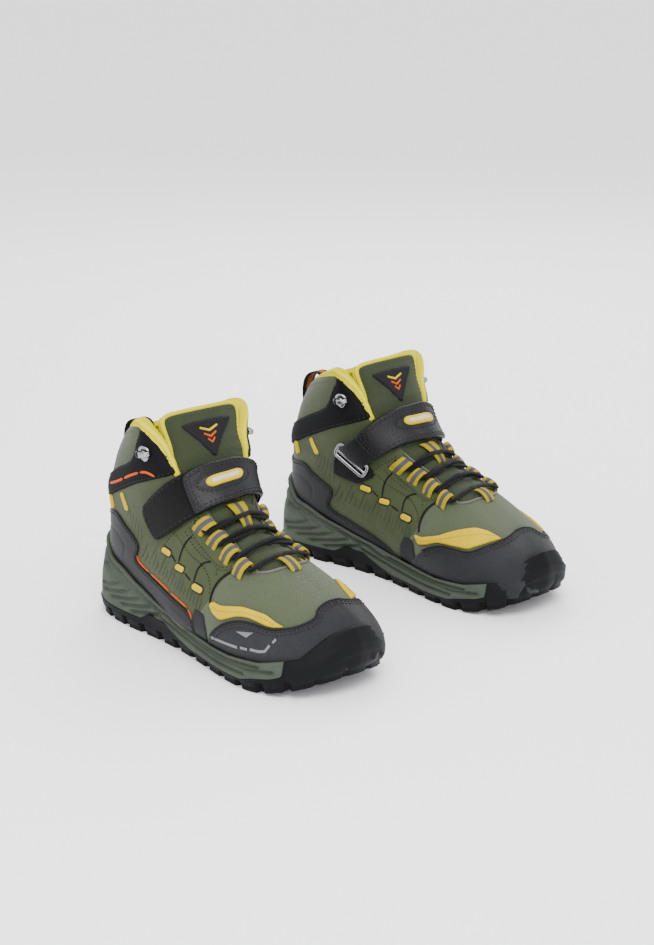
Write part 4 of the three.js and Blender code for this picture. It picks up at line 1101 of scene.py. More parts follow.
    def bend(o):
        del o["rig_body"]
        o.parent = None
        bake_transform(o)
        return o
    tg = patch(side, "tongue_pad", to, -3.4, -.5, "tongue", step=1.7, node=["tongue", "tongue_top"], edge=2.6, feat=puff, start=.1)
    tl = patch(side, "tongue_lining", [(t, 8 + (h - 8) * (1.08 if t > 11 else .97)) for t, h in to], -2.6, -5.4, "lining", step=2.2, edge=2.4, start=.1)
    edge_pts = smooth_line([(10.9, 9.56), (11.85, 9.5), (12.55, 9.5), (13.1, 9.52), (13.6, 9.52), (13.9, 9.4), (13.98, 9.0), (13.98, 8), (13.98, 7.0), (13.9, 6.6), (13.6, 6.48), (13.1, 6.48), (12.55, 6.5), (11.85, 6.5), (10.9, 6.44)], False, 2)
    tr_ = line_on(side, "tongue_edge", edge_pts, -1.2, 1.5, "lining", step=1.6)
    tst = stitches(side, "tongue_stitch", [inner(edge_pts, 3.4, to)], 0.75, "thread_green", length=1.6, gap=1.2, r=.3)
    for o in (tg, tl, tr_, tst):
        bend(o)
    # patch on the tongue
    pt = round_poly([(13.1, 6.95), (13.2, 8.05), (13.1, 9.1), (10.75, 8.0)], 3.6)
    patch(side, "tongue_patch_plate", pt, -.1, 2.3, "patch", body="tongue", step=1.5, bstep=1.0, node="tongue_patch", edge=.9)
    stitches(side, "patch_stitch", [np.vstack([inner(pt, 1.7, pt, True)] * 1 + [inner(pt, 1.7, pt, True)[:1]])], 2.35, "thread_black", body="tongue", length=1.3, gap=.9, r=.34)
    for k, (t, wd) in enumerate(((12.45, 14), (12.05, 10), (11.7, 6))):
        chev = [(1.6, -wd / 2), (-1.2, 0), (1.6, wd / 2), (2.9, wd / 2 - .4), (.5, 0), (2.9, -wd / 2 + .4)]
        patch(side, "patch_mark_%d" % k, local(t, 8.02, chev), 2.2, 2.75, "orange" if k else "tab", body="tongue", step=.9, bstep=.6, edge=.4)
    # lining and rolled collar
    lo = [(1.6, 1.2), (9.35, 1.2), (9.6, 0), (14, 0)] + LINING_EDGE[::-1] + [(5.0, 6.15), (4.7, 7), (4.7, 8.05)] + [(1.6, 8.05)]
    for sgn, nm in ((1, "outer"), (-1, "inner")):
        q = np.array(lo)
        if sgn < 0:
            q = np.stack([q[:, 0], 16 - q[:, 1]], 1)
        quilt = lambda t, h, P, D: -(1.4 * np.clip((t - 11.2) / .8, 0, 1) * np.clip(D / 6, 0, 1)) - .25 * np.cos(P[:, 2] * .9) * np.clip((t - 9) / 1, 0, 1) * 0
        o = patch(side, "lining_" + nm, q, .15, -2.7, "lining", step=2.4, bstep=1.8, edge=1.5, feat=quilt, node="lining" if sgn == 1 else None)
        c = (12.2, 5.5) if sgn == 1 else (12.2, 10.5)
        n_ = N(np.array([c[0]]), np.array([c[1]]))[0]
        p_ = skin(np.array([c[0]]), np.array([c[1]]), np.array([-3.9]))[0]
        lathe(side, "lining_eyelet_" + nm, p_, -n_, [(3.6, -1.0), (3.7, .2), (3.2, .9), (2.2, 1.0), (1.7, .2), (1.6, -.8)], "dark_steel")
    rim = [(10.4, 6.36), (11.2, 6.38), (11.85, 6.3), (12.55, 6.18), (13.1, 6.0), (13.55, 5.78), (13.86, 5.45), (13.95, 4.95), (13.97, 4), (13.97, 2), (13.97, 0)]
    rim = rim + [(t, -h) for t, h in rim[::-1][1:]]
    rp = smooth_line(rim, False, 2)
    q = resample(rp, 1.5)
    n = len(q)
    k = np.abs(np.linspace(-1, 1, n))
    rad = np.interp(k, [0, .3, .5, .62, .8, .93, 1], [2.6, 2.8, 3.4, 3.9, 3.9, 3.2, 2.2])
    P = skin(q[:, 0], q[:, 1], np.interp(k, [0, .4, .7, 1], [-.9, -.9, -.3, -.2]))
    o = sweep(side, "collar_roll", P, N(q[:, 0], q[:, 1]), circle(1, 14), "lining", scale=rad * (1 + .02 * np.cos(np.arange(n) * 1.0)))
    sr = []
    for sgn in (1, -1):
        L = smooth_line([(11.2, 5.98), (11.85, 5.9), (12.55, 5.78), (13.0, 5.55), (13.4, 5.2), (13.55, 4.6), (13.6, 3.6), (13.6, 2), (13.6, 0)], False, 2)
        sr.append(L if sgn == 1 else np.stack([L[:, 0], 16 - L[:, 1]], 1))
    stitches(side, "collar_stitch", sr, 2.9, "thread_green", length=1.8, gap=1.3, r=.3)
    # toe cap
    tc = smooth_line(TOE_CAP, True, 1)
    patch(side, "toe_cap_panel", tc, .9, WO, "cap", step=1.9, node="toe_cap", edge=1.1, feat=lambda t, h, P, D: -1.7 * np.clip((1.7 - t) / 1.1, 0, 1) ** 1.5)
    tt = np.array([.03, .2, .4, .6, .8, 1.0])
    hh = np.linspace(0, 16, 72, endpoint=False)
    T2, H2 = np.meshgrid(tt, hh, indexing="ij")
    A_ = skin(T2.ravel(), H2.ravel(), np.full(T2.size, .75)).reshape(6, 72, 3)
    B_ = skin(T2.ravel(), H2.ravel(), np.full(T2.size, .2)).reshape(6, 72, 3)[::-1]
    V_ = np.vstack([A_, B_]).reshape(-1, 3)
    F_ = [(i * 72 + j, i * 72 + (j + 1) % 72, i * 72 + 72 + (j + 1) % 72, i * 72 + 72 + j) for i in range(11) for j in range(72)]
    F_.append(tuple(range(72))[::-1])
    F_.append(tuple(11 * 72 + j for j in range(72)))
    finish_mesh(side, "toe_cap_nose", V_, F_, "cap", "boot", np.zeros((len(V_), 2)))
    top = smooth_line(TOE_TOP[1:-2], False, 2)
    stitches(side, "toe_cap_stitch", [inner(top, 1.7, TOE_CAP), inner(top, 3.7, TOE_CAP)], WO + .05, "thread_black", length=1.7, gap=1.0, r=.42)
    line_on(side, "toe_cap_edge", top, 2.3, .7, "cap_dark")
    # grey reflective marks on the outer side of the toe cap
    for kk, (path, wd) in enumerate(MARKS):
        patch(side, "toe_mark_%d" % kk, band(path, wd), WO - .3, WO + .3, "silver", step=1.0, bstep=.7, edge=.4)
    patch(side, "toe_mark_arrow", [(4.5, 3.66), (3.92, 3.98), (4.08, 3.62)], WO - .3, WO + .3, "silver", step=1.0, bstep=.7, edge=.4)
    for nm, poly in (("outer", TRIM_OUTER), ("inner", TRIM_INNER)):
        q = round_poly(poly, 2.2)
        patch(side, "trim_" + nm + "_film", q, 1.6, 3.3, "trim", step=1.4, bstep=1.0, node="trim_" + nm, edge=.9)
    stitches(side, "trim_stitch", [smooth_line([(3.5, 4.62), (3.9, 4.66), (4.55, 4.45), (5.2, 3.98), (5.55, 4.0)], False, 2), smooth_line([(3.2, 10.25), (3.7, 10.65), (4.2, 11.2), (4.75, 11.75), (5.3, 12.25), (5.6, 12.35)], False, 2)],
             3.3, "thread_gold", length=1.2, gap=.9, r=.3)
    # heel counter and rand, ankle panel
    hc = smooth_line(COUNTER, True, 1)
    emb = [smooth_line([(9.3, 3.0), (9.5, 3.45), (10.0, 3.5), (10.5, 3.1), (10.75, 2.4), (10.8, 1.4), (10.8, 0)], False, 2).tolist(),
           smooth_line([(9.3, -3.0), (9.5, -3.35), (10.0, -3.4), (10.4, -3.0), (10.65, -2.4), (10.8, -1.4), (10.8, 0)], False, 2).tolist()]
    low = [smooth_line([(6.3, 2.6), (7, 2.75), (8, 2.75), (8.9, 2.85)], False, 2).tolist(), smooth_line([(6.5, -2.1), (7.3, -2.3), (8, -2.4), (8.8, -2.7)], False, 2).tolist()]
    patch(side, "heel_counter_panel", hc, .9, WO, "counter", step=2.0, node="heel_counter", edge=1.1, feat=feats(groove(emb, -.55, .9), groove(low, .4, .8)))
    hl = smooth_line(RAND_OUT[1:] + RAND_IN[:-1], False, 2)
    stitches(side, "counter_stitch", [inner(hl, 1.5, COUNTER)], WO + .02, "thread_black", length=1.6, gap=1.1, r=.36)
    line_on(side, "counter_edge", hl, 2.2, .75, "cap_dark")
    dash = [[(8.95, 3.5), (8.75, 3.36), (8.3, 3.32)], [(8.2, 3.3), (7.6, 3.3), (7.3, 3.3)], [(7.2, 3.3), (6.7, 3.3), (6.45, 3.28)], [(6.38, 3.25), (6.15, 3.05), (6.08, 2.5), (5.95, 2.0)]]
    for kk, L in enumerate(dash):
        line_on(side, "rand_line_%d" % kk, smooth_line(L, False, 2), 1.9, .62, "orange", flat=.9)
    an = smooth_line(ANKLE, True, 1)
    an2 = lambda t, h, P, D: .9 * np.clip(D / 5, 0, 1)
    o = patch(side, "ankle_panel_pad", an, .9, WO, "ankle", step=1.9, node="ankle_panel", edge=1.2, feat=an2)
    stitches(side, "ankle_stitch", [np.vstack([inner(an, 1.8, an, True), inner(an, 1.8, an, True)[:1]])], WO + .35, "thread_black", length=1.7, gap=1.2, r=.36)
    for kk, L in enumerate([[(11.85, 3.3), (11.75, 3.8), (11.66, 4.3)], [(11.63, 4.42), (11.56, 4.8), (11.46, 5.15)], [(11.42, 5.25), (11.3, 5.5), (11.05, 5.68), (10.9, 5.75)]]):
        line_on(side, "ankle_line_%d" % kk, smooth_line(L, False, 2), 3.5, .9, "orange", flat=.7)
    # tongue webbing and the small one at the vamp base
    for nm, (t0, t1, wmax, wd, hc_) in (("tongue_webbing", (7.0, 8.3, 2.9, 10, 7.95)), ("vamp_webbing", (4.45, 5.15, 2.5, 8, 7.9))):
        ts = np.linspace(t0, t1, 26)
        ar = np.sin(np.linspace(0, math.pi, 26)) ** .6 * wmax + .3
        gh = np.linalg.norm(grads(np.array([(t0 + t1) / 2]), np.array([hc_]))[1][0])
        P = np.stack([skin(ts, np.full(26, hc_ + u * wd / gh), ar + (.9 if t0 > 6 else 1.2)) for u in np.linspace(-.5, .5, 9)], 1)
        solid(side, nm, P, 1.1, "web", node="tongue_loop" if t0 > 6 else None)
    # footbed
    patch(side, "footbed_pad", smooth_line(FOOTBED, True, 2), -.5, -4.2, "footbed", step=3.5, bstep=2.4, node="footbed", edge=3)
    # heel pull loop
    L = spline([(9.2, 96), (7.8, 99.8), (6.3, 106), (5.8, 113.1), (7.1, 120.2), (10.4, 125), (15.8, 127.4), (20.8, 127.5), (24.3, 125.4), (25.8, 120.2), (26, 113), (25, 106)], 54)
    P = np.stack([np.stack([L[:, 0], np.full(54, y), L[:, 1]], 1) for y in np.linspace(-5.5, 5.5, 9)], 1)
    solid(side, "heel_pull", P, 1.5, "pull", node="heel_loop")


MARKS = [([(5.28, 2.78), (4.75, 2.9), (4.3, 3.0)], 1.9), ([(4.22, 3.06), (3.98, 3.12)], 1.7), ([(3.9, 3.18), (3.62, 3.24), (3.45, 3.35), (3.36, 3.72)], 1.8), ([(3.31, 3.86), (3.25, 4.1)], 1.7)]


def hook(side, nm, t, h, sgn):
    tear = [(-6.5, 0), (-4, -2.6), (-.5, -4.3), (2.6, -4.2), (4.6, -2.4), (5.2, 0), (4.6, 2.4), (2.6, 4.2), (-.5, 4.3), (-4, 2.6)]
    patch(side, "hook_plate_" + nm, smooth_line(local(t, h, tear), True, 2), 2.4, 4.3, "steel", step=1.1, bstep=.8, edge=.8, node="lace_hook_" + nm, start=.5)
    # the hooked tongue, which curls from the front edge toward the back
    prof = spline([(3.4, 3.6), (4.2, 5.0), (3.8, 6.9), (2.0, 8.0), (-.4, 8.0), (-2.4, 7.1), (-3.2, 6.6)], 20)
    rows = []
    for k in np.linspace(-1, 1, 7):
        hw = 2.5 * k
        pts = [local(t, h, [(hw * (1 - .25 * (i / 19)), sgn * y)])[0] for i, (y, w) in enumerate(prof)]
        rows.append(skin(np.array([p[0] for p in pts]), np.array([p[1] for p in pts]), prof[:, 1] - .5 * k * k))
    solid(side, "hook_tongue_" + nm, np.stack(rows, 1), 1.2, "steel")
    c = skin(np.array([t - .02]), np.array([h]), np.array([4.2]))[0]
    lathe(side, "hook_rivet_" + nm, c, N(np.array([t]), np.array([h]))[0], [(2.1, -.4), (2.1, .3), (1.6, .8), (.6, 1.0)], "steel", n=16)
    bp_ = local(t, h, [(0, -sgn * 1.2)])[0]
    c = skin(np.array([bp_[0]]), np.array([bp_[1]]), np.array([6.4]))[0]
    lathe(side, "hook_ball_" + nm, c, N(np.array([t]), np.array([h]))[0], [(.7, -1.9), (1.9, -1.3), (2.6, 0), (2.2, 1.4), (1.2, 2.2), (.3, 2.5)], "cap_dark", n=16)


def laces(side):
    out, inn = 5.8, 10.2
    r = []
    e = .31

    def thread(h, ta, tb):
        for k in (0, .5, 1):
            r.append((ta + (tb - ta) * k, h, 4.6))

    def cross(h0, t0, h1, t1, mid):
        for k in (.14, .32, .5, .68, .86):
            r.append((t0 + (t1 - t0) * k, h0 + (h1 - h0) * k, mid + (4.4 - mid) * abs(2 * k - 1) ** 2))
    a, b, c, d = LOOP_T
    thread(out, a + e, a - e); cross(out, a - e, inn, b + e, 2.6)
    thread(inn, b + e, b - e); cross(inn, b - e, out, c + e, 2.6)
    thread(out, c + e, c - e); cross(out, c - e, inn, d + e, 2.6)
    thread(inn, d + e, d - e); cross(inn, d - e, out, d - e, 3.0)
    thread(out, d - e, d + e); cross(out, d + e, inn, c - e, 5.6)
    thread(inn, c - e, c + e); cross(inn, c + e, out, b - e, 5.6)
    thread(out, b - e, b + e); cross(out, b + e, inn, a - e, 5.6)
    thread(inn, a - e, a + e)
    Q = spline(r, 420)
    P = skin(Q[:, 0], Q[:, 1], Q[:, 2])
    n = N(Q[:, 0], Q[:, 1])
    sweep(side, "lace_cord", P, n, circle(1.55, 12, 1.2), "lace", node="lace")
    return seg_len(P)[-1]


def strap(side):
    low = round_poly([(10.12, 4.82), (9.5, 4.62), (8.7, 4.42), (8.52, 5.1), (8.4, 6.0), (8.36, 7.0), (8.38, 8.0), (8.48, 9.0), (8.68, 10.2), (8.73, 10.66), (10.1, 10.5), (10.35, 9.6), (10.5, 8.5), (10.52, 7.05), (10.4, 6.0), (10.25, 5.3)], 3.5)
    o = patch(side, "strap_pile_part", low, 2.6, 4.5, "pile", step=1.8, node="strap_base", edge=1.3, feat=lambda t, h, P, D: .0 * t)
    stitches(side, "strap_pile_stitch", [np.vstack([inner(low, 1.9, low, True), inner(low, 1.9, low, True)[:1]])], 4.45, "thread_black", length=2.2, gap=1.4, r=.42)
    fr = round_poly([(10.36, 6.45), (9.4, 6.22), (8.38, 5.98), (8.34, 7.0), (8.36, 8.0), (8.46, 9.0), (8.66, 10.1), (8.7, 10.5), (10.14, 10.4), (10.38, 9.6), (10.53, 8.5), (10.53, 7.05)], 2.6)
    oval = np.array(local(9.45, 7.85, capsule(15, 33, 12) if False else [(y * .5, x) for x, y in capsule(34, 26, 12)]))
    patch(side, "strap_leather_part", fr, 4.7, 6.6, "strap", body="strap", step=1.5, node="strap_free_end", edge=1.2, feat=groove([oval.tolist() + [tuple(oval[0])]], -.6, .9))
    stitches(side, "strap_stitch", [np.vstack([inner(fr, d, fr, True), inner(fr, d, fr, True)[:1]]) for d in (1.6, 3.5)], 6.62, "thread_black", body="strap", length=1.9, gap=1.0, r=.45)
    stitches(side, "strap_oval_stitch", [np.vstack([oval, oval[:1]])], 6.25, "thread_black", body="strap", length=1.6, gap=.9, r=.4)
    cap = [(y, x) for x, y in capsule(25, 7.4, 12)]
    patch(side, "badge_frame", local(9.47, 7.85, cap), 6.2, 8.3, "badge", body="strap", step=1.1, bstep=.8, edge=1.4, node="strap_badge", start=.3,
          feat=lambda t, h, P, D: -.5 * np.clip((D - 1.7) / .5, 0, 1))
    patch(side, "badge_face", local(9.47, 7.85, [(y, x) for x, y in capsule(20, 3.4, 12)]), 7.4, 8.35, "badge_face", body="strap", step=.9, bstep=.7, edge=.6)
    # the fold round the ring
    prof = spline([(10.05, 5.6), (10.4, 5.75), (10.72, 5.7), (10.98, 5.0), (11.02, 4.2), (10.85, 3.5), (10.5, 3.2), (10.1, 3.3)], 30)
    us = np.linspace(0, 1, 22)
    P = np.stack([skin(8.74 + (10.1 - 8.74) * u + 0 * prof[:, 0], prof[:, 0], prof[:, 1]) for u in us], 1)
    solid(side, "strap_fold", P, 1.3, "strap")
    tabp = round_poly([(10.0, 10.9), (9.9, 11.4), (9.35, 11.75), (8.5, 11.6), (8.28, 11.1), (8.55, 10.9)], 2.5)
    patch(side, "ring_tab_part", tabp, 1.5, 3.3, "pile", step=1.6, node="ring_tab", edge=1.0)
    stitches(side, "ring_tab_stitch", [np.vstack([inner(tabp, 1.6, tabp, True), inner(tabp, 1.6, tabp, True)[:1]])], 3.3, "thread_black", length=1.7, gap=1.2, r=.4)
    # slot ring: a bent steel wire with a cross bar
    c, n = skin(np.array([9.3]), np.array([11.02]), np.array([4.3]))[0], N(np.array([9.3]), np.array([11.02]))[0]
    dt, dh = grads(np.array([9.3]), np.array([11.02]))
    x = dt[0] - n * (dt[0] @ n)
    x /= np.linalg.norm(x)
    y = np.cross(n, x)
    a, b, r = 13.7, 4.9, 3.2
    loop = []
    for cx, cy, a0 in ((a - r, b - r, 0), (-a + r, b - r, 90), (-a + r, -b + r, 180), (a - r, -b + r, 270)):
        for k in range(7):
            q = math.radians(a0 + k * 15)
            loop.append((cx + r * math.cos(q), cy + r * math.sin(q)))
    loop = np.array(loop)
    P = c + loop[:, :1] * x + loop[:, 1:] * y
    V1, F1, _ = sweep(side, "", P, np.tile(n, (len(P), 1)), circle(1.3, 12, 1.15), "steel", closed=True, raw=True)
    bar = c + np.linspace(-a, a, 14)[:, None] * x + y * 1.0
    V2, F2, _ = sweep(side, "", bar, np.tile(n, (14, 1)), circle(.95, 10), "steel", raw=True)
    o = finish_mesh(side, "slot_ring_wire", np.vstack([V1, V2]), F1 + [tuple(i + len(V1) for i in f) for f in F2], "steel", "ring", node="slot_ring")


# ------------------------------------------------------------------ sole unit
OUT_EDGE = [(-2, 0), (0, 15), (7, 28), (23, 36.5), (50, 39.5), (80, 38.5), (110, 39.5), (140, 43.5), (165, 47), (187, 47), (206, 41.5), (220, 31), (229, 17), (233, -3)]
IN_EDGE = [(-2, 0), (0, -15), (7, -28), (23, -36.5), (50, -37), (80, -33), (110, -33), (140, -38), (165, -43), (187, -44.5), (206, -41.5), (220, -33.5), (229, -21), (233, -3)]
OUT_INSET = [1.9, 1.8, 2.5, 3.7, 4.8, 5.3, 5.6, 5, 4, 2.1, -.8, -2.6, -3, -3, -2.6, -2, -.1, .9, 1.6, 1.6, 1.1, .7, .8, 2.3, 3.4, 3.7, 4.1]
IN_INSET = [1.9, 1.8, 2.6, 3.9, 5.1, 6.1, 6.3, 5.3, 3.7, 2.1, -.1, -1.7, -2.3, -1.5, -.7, -.4, .4, .4, .2, -.3, -1.2, -2.2, -2.6, -1.2, .6, 1.8, 4.1]
WALL_TOP = np.array([(-2, 52), (5, 50), (12, 45), (20, 40), (39, 37), (57, 32), (82, 27), (103, 24.5), (122, 21.5), (138, 20), (168, 18), (195, 20), (215, 25), (219, 26), (227, 35), (231, 40), (233, 42)])
SPLIT = np.array([(-10, 10), (35, 10), (67, 11), (75, 16), (93, 16), (110, 9), (122, 6.2), (155, 6), (182, 7), (190, 9.5), (205, 12.5), (211, 15), (217, 60)])
LUG = 3.2


def ground(x):
    return np.where(x > 182, ((x - 182) / 51) ** 2 * 13, np.where(x < 22, ((22 - x) / 22) ** 2 * 4, 0.0))


def stations(step=1.25):
    """perimeter of the sole: outer side from heel to toe, then the inner side back; position, inward normal, top inset"""
    out = []
    for edge, ins, sgn in ((OUT_EDGE, OUT_INSET, 1), (IN_EDGE, IN_INSET, -1)):
        e = np.array(edge, float)
        e = np.vstack([e, ])
        s = np.linspace(0, 13, 1301)
        first = e[1] * (1, -1)
        ext = np.vstack([first, e, e[-2]])
        i = np.minimum(np.floor(s).astype(int), 12)
        f = (s - i)[:, None]
        p0, p1, p2, p3 = ext[i], ext[i + 1], ext[i + 2], ext[i + 3]
        p0 = np.where((i == 0)[:, None], 2 * p1 - p2, p0)
        p3 = np.where((i == 12)[:, None], 2 * p2 - p1, p3)
        P = .5 * (2 * p1 + (p2 - p0) * f + (2 * p0 - 5 * p1 + 4 * p2 - p3) * f ** 2 + (3 * p1 - p0 - 3 * p2 + p3) * f ** 3)
        d = np.interp(s * 2, np.arange(27), ins)
        L = seg_len(P)
        n = int(L[-1] / step)
        q = np.linspace(0, L[-1], n + 1)
        P = np.stack([np.interp(q, L, P[:, 0]), np.interp(q, L, P[:, 1])], 1)
        d = np.interp(q, L, d)
        out.append((P, d))
    P = np.vstack([out[0][0], out[1][0][::-1][1:-1]])
    d = np.concatenate([out[0][1], out[1][1][::-1][1:-1]])
    for _ in range(3):
        P = (np.roll(P, 1, 0) + 2 * P + np.roll(P, -1, 0)) / 4
    T = np.roll(P, -1, 0) - np.roll(P, 1, 0)
    nn = np.stack([T[:, 1], -T[:, 0]], 1)
    nn /= np.linalg.norm(nn, axis=1, keepdims=True)
    c = P.mean(0)
    if ((c - P) * nn).sum() < 0:
        nn = -nn
    return P, nn, d


def wall_inset(z, x, d):
    g = ground(x)
    wt = np.interp(x, WALL_TOP[:, 0], WALL_TOP[:, 1])
    k = np.clip((x - 212) / 14, 0, 1)
    z0, z1, z2, z3 = g + LUG, g + 7, ((wt - 8) * .45 + 8) * (1 - k) + (wt - 9) * k, wt
    i0, i1, i2, i3 = 2.2, .2 - .7 * k, (d * .35 - .3) * (1 - k) - .8 * k, d * (1 - k) + 4.6 * k
    a = np.clip((z - z0) / (z1 - z0), 0, 1)
    b = np.clip((z - z1) / np.maximum(z2 - z1, 1), 0, 1)
    c = np.clip((z - z2) / np.maximum(z3 - z2, 1), 0, 1)
    sm = lambda k: k * k * (3 - 2 * k)
    return np.where(z < z1, i0 + (i1 - i0) * np.sqrt(a), np.where(z < z2, i1 + (i2 - i1) * b, i2 + (i3 - i2) * c))


def seg_dist(px, pz, line):
    d = np.full(px.shape, 1e9)
    L = np.asarray(line, float)
    for (x0, z0), (x1, z1) in zip(L[:-1], L[1:]):
        vx, vz = x1 - x0, z1 - z0
        k = np.clip(((px - x0) * vx + (pz - z0) * vz) / (vx * vx + vz * vz + 1e-9), 0, 1)
        d = np.minimum(d, np.hypot(px - x0 - k * vx, pz - z0 - k * vz))
    return d


# moulded grooves of the midsole wall as (x, z) lines
GROOVES = []
for tx, tz in ((91, 20.5), (78, 22), (65, 23.5), (52, 25), (39, 26.5)):
    GROOVES.append([(tx - 38, tz + 9.5), (tx - 12, tz + 3.6), (tx, tz), (tx - 10, tz - 3.4), (tx - 34, tz - 8)])
GROOVES += [[(100, 21), (108, 19), (120, 16.5), (150, 14), (185, 13.5), (205, 16)], [(88, 18.5), (104, 15.5), (122, 12.5), (150, 10.5), (183, 10.5)], [(120, 19), (140, 17.2), (168, 15.6), (195, 17)]]
GROOVES += [[(-2, 46), (8, 44), (20, 36.8), (39, 33.6), (57, 28.8), (82, 24), (103, 21.6)]]
BACK = [[(-26 + 9 * k, 38), (-20 + 9 * k, 27), (-24 + 9 * k, 14)] for k in range(6)] + [[(-30, 43), (0, 46), (30, 43)]]


def sole(side):
    P, nn, d = stations()
    m = len(P)
    x = P[:, 0]
    g = ground(x)
    wt = np.interp(x, WALL_TOP[:, 0], WALL_TOP[:, 1])
    sp = np.minimum(np.interp(x, SPLIT[:, 0], SPLIT[:, 1]), wt)
    s = seg_len(np.vstack([P, P[:1]]))[:-1]
    at = lambda ins, z: np.stack([P[:, 0] + nn[:, 0] * ins, P[:, 1] + nn[:, 1] * ins, z], 1)

    # midsole: only where it shows, in front of the heel and behind the bumper
    mid = np.where(x < 212.5)[0]
    brk = np.where(np.diff(mid) > 1)[0][0]
    order = np.concatenate([mid[brk + 1:], mid[:brk + 1]])
    n = 36
    rows = []
    for k in range(n):
        f = k / (n - 1)
        z = sp + (wt - sp) * f
        ins = wall_inset(z, x, d)
        disp = np.zeros(m)
        if 0 < k < n - 1:
            for L in GROOVES:
                disp = np.maximum(disp, np.exp(-(seg_dist(x, z, L) / 1.35) ** 2) * (x > 12))
            for L in BACK:
                disp = np.maximum(disp, np.exp(-(seg_dist(P[:, 1], z, L) / 1.3) ** 2) * np.clip((17 - x) / 4, 0, 1))
        lip = .55 * np.exp(-((wt - z - 1.0) / 1.1) ** 2) + .5 * np.exp(-((z - sp) / .8) ** 2)
        puff = .5 * np.sin(np.pi * f)
        rows.append(at(ins + disp * 2.6 - lip * (1 if 0 < k else 0) - puff, z))
    rows.append(at(wall_inset(wt, x, d) + .9, wt + .35))
    rows.append(at(wall_inset(wt, x, d) + 2.2, wt - .2))
    rows.append(at(wall_inset(wt, x, d) + 4.5, wt - 4))
    rows.append(at(wall_inset(sp, x, d) + 9, np.minimum(sp + 4, wt - 4.5)))
    rows.append(at(wall_inset(sp, x, d) + 12, sp - .1))
    rows.append(at(wall_inset(sp, x, d) + 1.0, sp - .2))
    R = np.stack(rows)[:, order]
    K, n2 = R.shape[:2]
    F = []
    for k in range(K):
        k2 = (k + 1) % K
        for j in range(n2 - 1):
            F.append((k * n2 + j, k * n2 + j + 1, k2 * n2 + j + 1, k2 * n2 + j))
    F.append(tuple(k * n2 for k in range(K)))
    F.append(tuple(k * n2 + n2 - 1 for k in range(K))[::-1])
    # the midsole wall; no floor is built across the cup
    finish_mesh(side, "midsole_wall", R.reshape(-1, 3), F, "foam", "boot", node="midsole")

    # outsole
    n = 16
    rows = []
    wl = .5 + .5 * np.cos(s * 2 * np.pi / 18.6)
    notch = np.clip((wl - .80) / .1, 0, 1)
    cc = np.interp(x, [-2, 200, 212, 218, 233], [0, 0, 0, 1, 1])
    for k in range(n):
        f = k / (n - 1)
        z0 = g + LUG * .0 + .15
        z = z0 + (sp - z0) * f
        ins = wall_inset(np.maximum(z, g + LUG), x, d)
        low = np.clip((np.minimum(g + LUG + 4.2, sp - 1.5) - z) / 1.0, 0, 1)
        line = np.zeros(m)
        for q in (.35, .5, .65, .8):
            zz = g + 8 + (wt - g - 8) * q
            line = np.maximum(line, np.exp(-((z - zz) / .75) ** 2))
        edge = .6 * np.exp(-((sp - z) / .7) ** 2)
        chip = notch * low * 3.0 * np.clip((230 - x) / 8, .35, 1)
        # wide lugs that climb the toe
        toe = cc * np.clip((g + 13 - z) / 2, 0, 1)
        chip = np.maximum(chip, notch * toe * .9 * np.clip((230 - x) / 8, .35, 1))
        rows.append(at(ins + chip - line * cc * .8 - edge - .15 - cc * 1.1, z))
    rows.append(at(wall_inset(sp, x, d) + 1.2 - cc * .9, sp + .25))
    rows.append(at(wall_inset(sp, x, d) + 3.5, sp - .6))
    rows.append(at(wall_inset(sp, x, d) + 6, np.maximum(sp - 6, g + 4.4)))
    top_in = at(wall_inset(sp, x, d) + 9, g + 4.4)
    rows.append(top_in)
    bot = at(2.2 + 3.0 * 1.0, g + LUG)
    inner_z = g + .15
    R = np.stack([at(6.0, g + LUG), at(2.9 + notch * 3.2, g + .25 + notch * 2.6)] + rows)
    K = len(R)
    F = []
    for k in range(K - 1):
        for j in range(m):
            j2 = (j + 1) % m
            F.append((k * m + j, k * m + j2, k * m + m + j2, k * m + m + j))
    V = R.reshape(-1, 3)
    # caps across the width
    half = int(np.argmax(x))
    for base, up in ((0, False), ((K - 1) * m, True)):
        nb = m
        for i in range(half):
            a, b = base + i, base + i + 1
            j1, j2 = (m - i) % m, m - i - 1
            if half + (half - i) >= 0:
                ra = (m - i * (m - half) / half)
                rb = (m - (i + 1) * (m - half) / half)
                ja, jb = int(round(ra)) % m, int(round(rb)) % m
                f = [a, b, base + jb, base + ja]
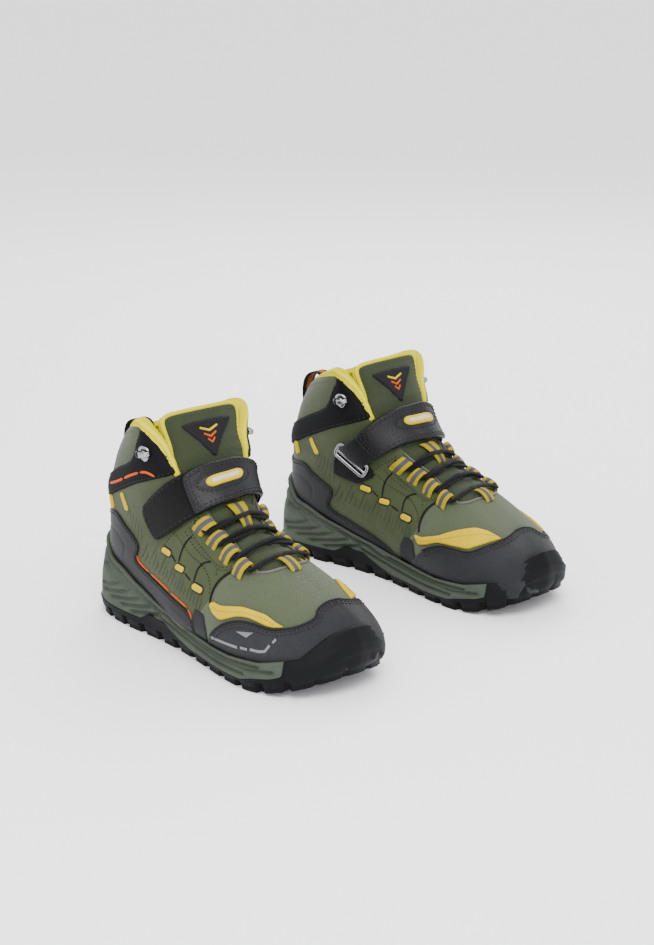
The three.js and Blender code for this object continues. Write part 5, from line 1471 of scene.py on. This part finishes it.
                # walk the other side one by one where it has more points
                f = list(dict.fromkeys(f))
                mids = []
                q = int(round(rb))
                while q < int(round(ra)):
                    mids.append(base + q % m)
                    q += 1
                f = list(dict.fromkeys([a, b] + mids + [base + ja]))
                if len(f) >= 3:
                    F.append(tuple(f))
    finish_mesh(side, "outsole_wall", V, F, "rubber", "boot", node="outsole")
    # ground lugs inside the rim
    Vs, Fs = [], []
    k0 = 0
    yo = lambda xx: np.interp(xx, [p[0] for p in OUT_EDGE], [p[1] for p in OUT_EDGE])
    yi = lambda xx: np.interp(xx, [p[0] for p in IN_EDGE], [p[1] for p in IN_EDGE])
    for xx in np.arange(12, 222, 13.5):
        if 68 < xx < 104:
            continue
        for y0, y1, sk in ((yo(xx) - 20, yo(xx) - 8, 3), (yi(xx) + 8, yi(xx) + 20, 3), (-4.5, 4.5, -3)):
            if y1 - y0 < 5:
                continue
            gz = float(ground(np.array(xx)))
            for z, e in ((gz + LUG + 1.0, 0), (gz + .9, .6), (gz + .2, 1.3)):
                ym = (y0 + y1) / 2
                for px, py in ((-4 + e, y0 + e), (4 - e, y0 + e), (4 - e + sk, ym), (4 - e, y1 - e), (-4 + e, y1 - e), (-4 + e + sk, ym)):
                    zz = z + float(ground(np.array(xx + px))) - gz
                    Vs.append((xx + px, py, zz))
            for i in range(2):
                for j in range(6):
                    j2 = (j + 1) % 6
                    Fs.append((k0 + i * 6 + j, k0 + i * 6 + j2, k0 + i * 6 + 6 + j2, k0 + i * 6 + 6 + j))
            Fs.append(tuple(k0 + j for j in range(6))[::-1])
            Fs.append(tuple(k0 + 12 + j for j in range(6)))
            k0 += 18
    finish_mesh(side, "outsole_lugs", np.array(Vs), Fs, "rubber", "boot", smooth=False)


def cad_finish(name, mat):
    for side in ("right", "left"):
        o = frame["nodes"][side + "_" + name]
        if not len(o.material_slots):
            continue
        o.material_slots[0].link = "OBJECT"
        o.material_slots[0].material = M[mat]


for SIDE in ("right", "left"):
    upper(SIDE)
    LEN = laces(SIDE)
    strap(SIDE)
    sole(SIDE)
cad_finish("lasting_board", "board")
cad_finish("shank", "dark_steel")
print("lace length mm", round(LEN, 1))
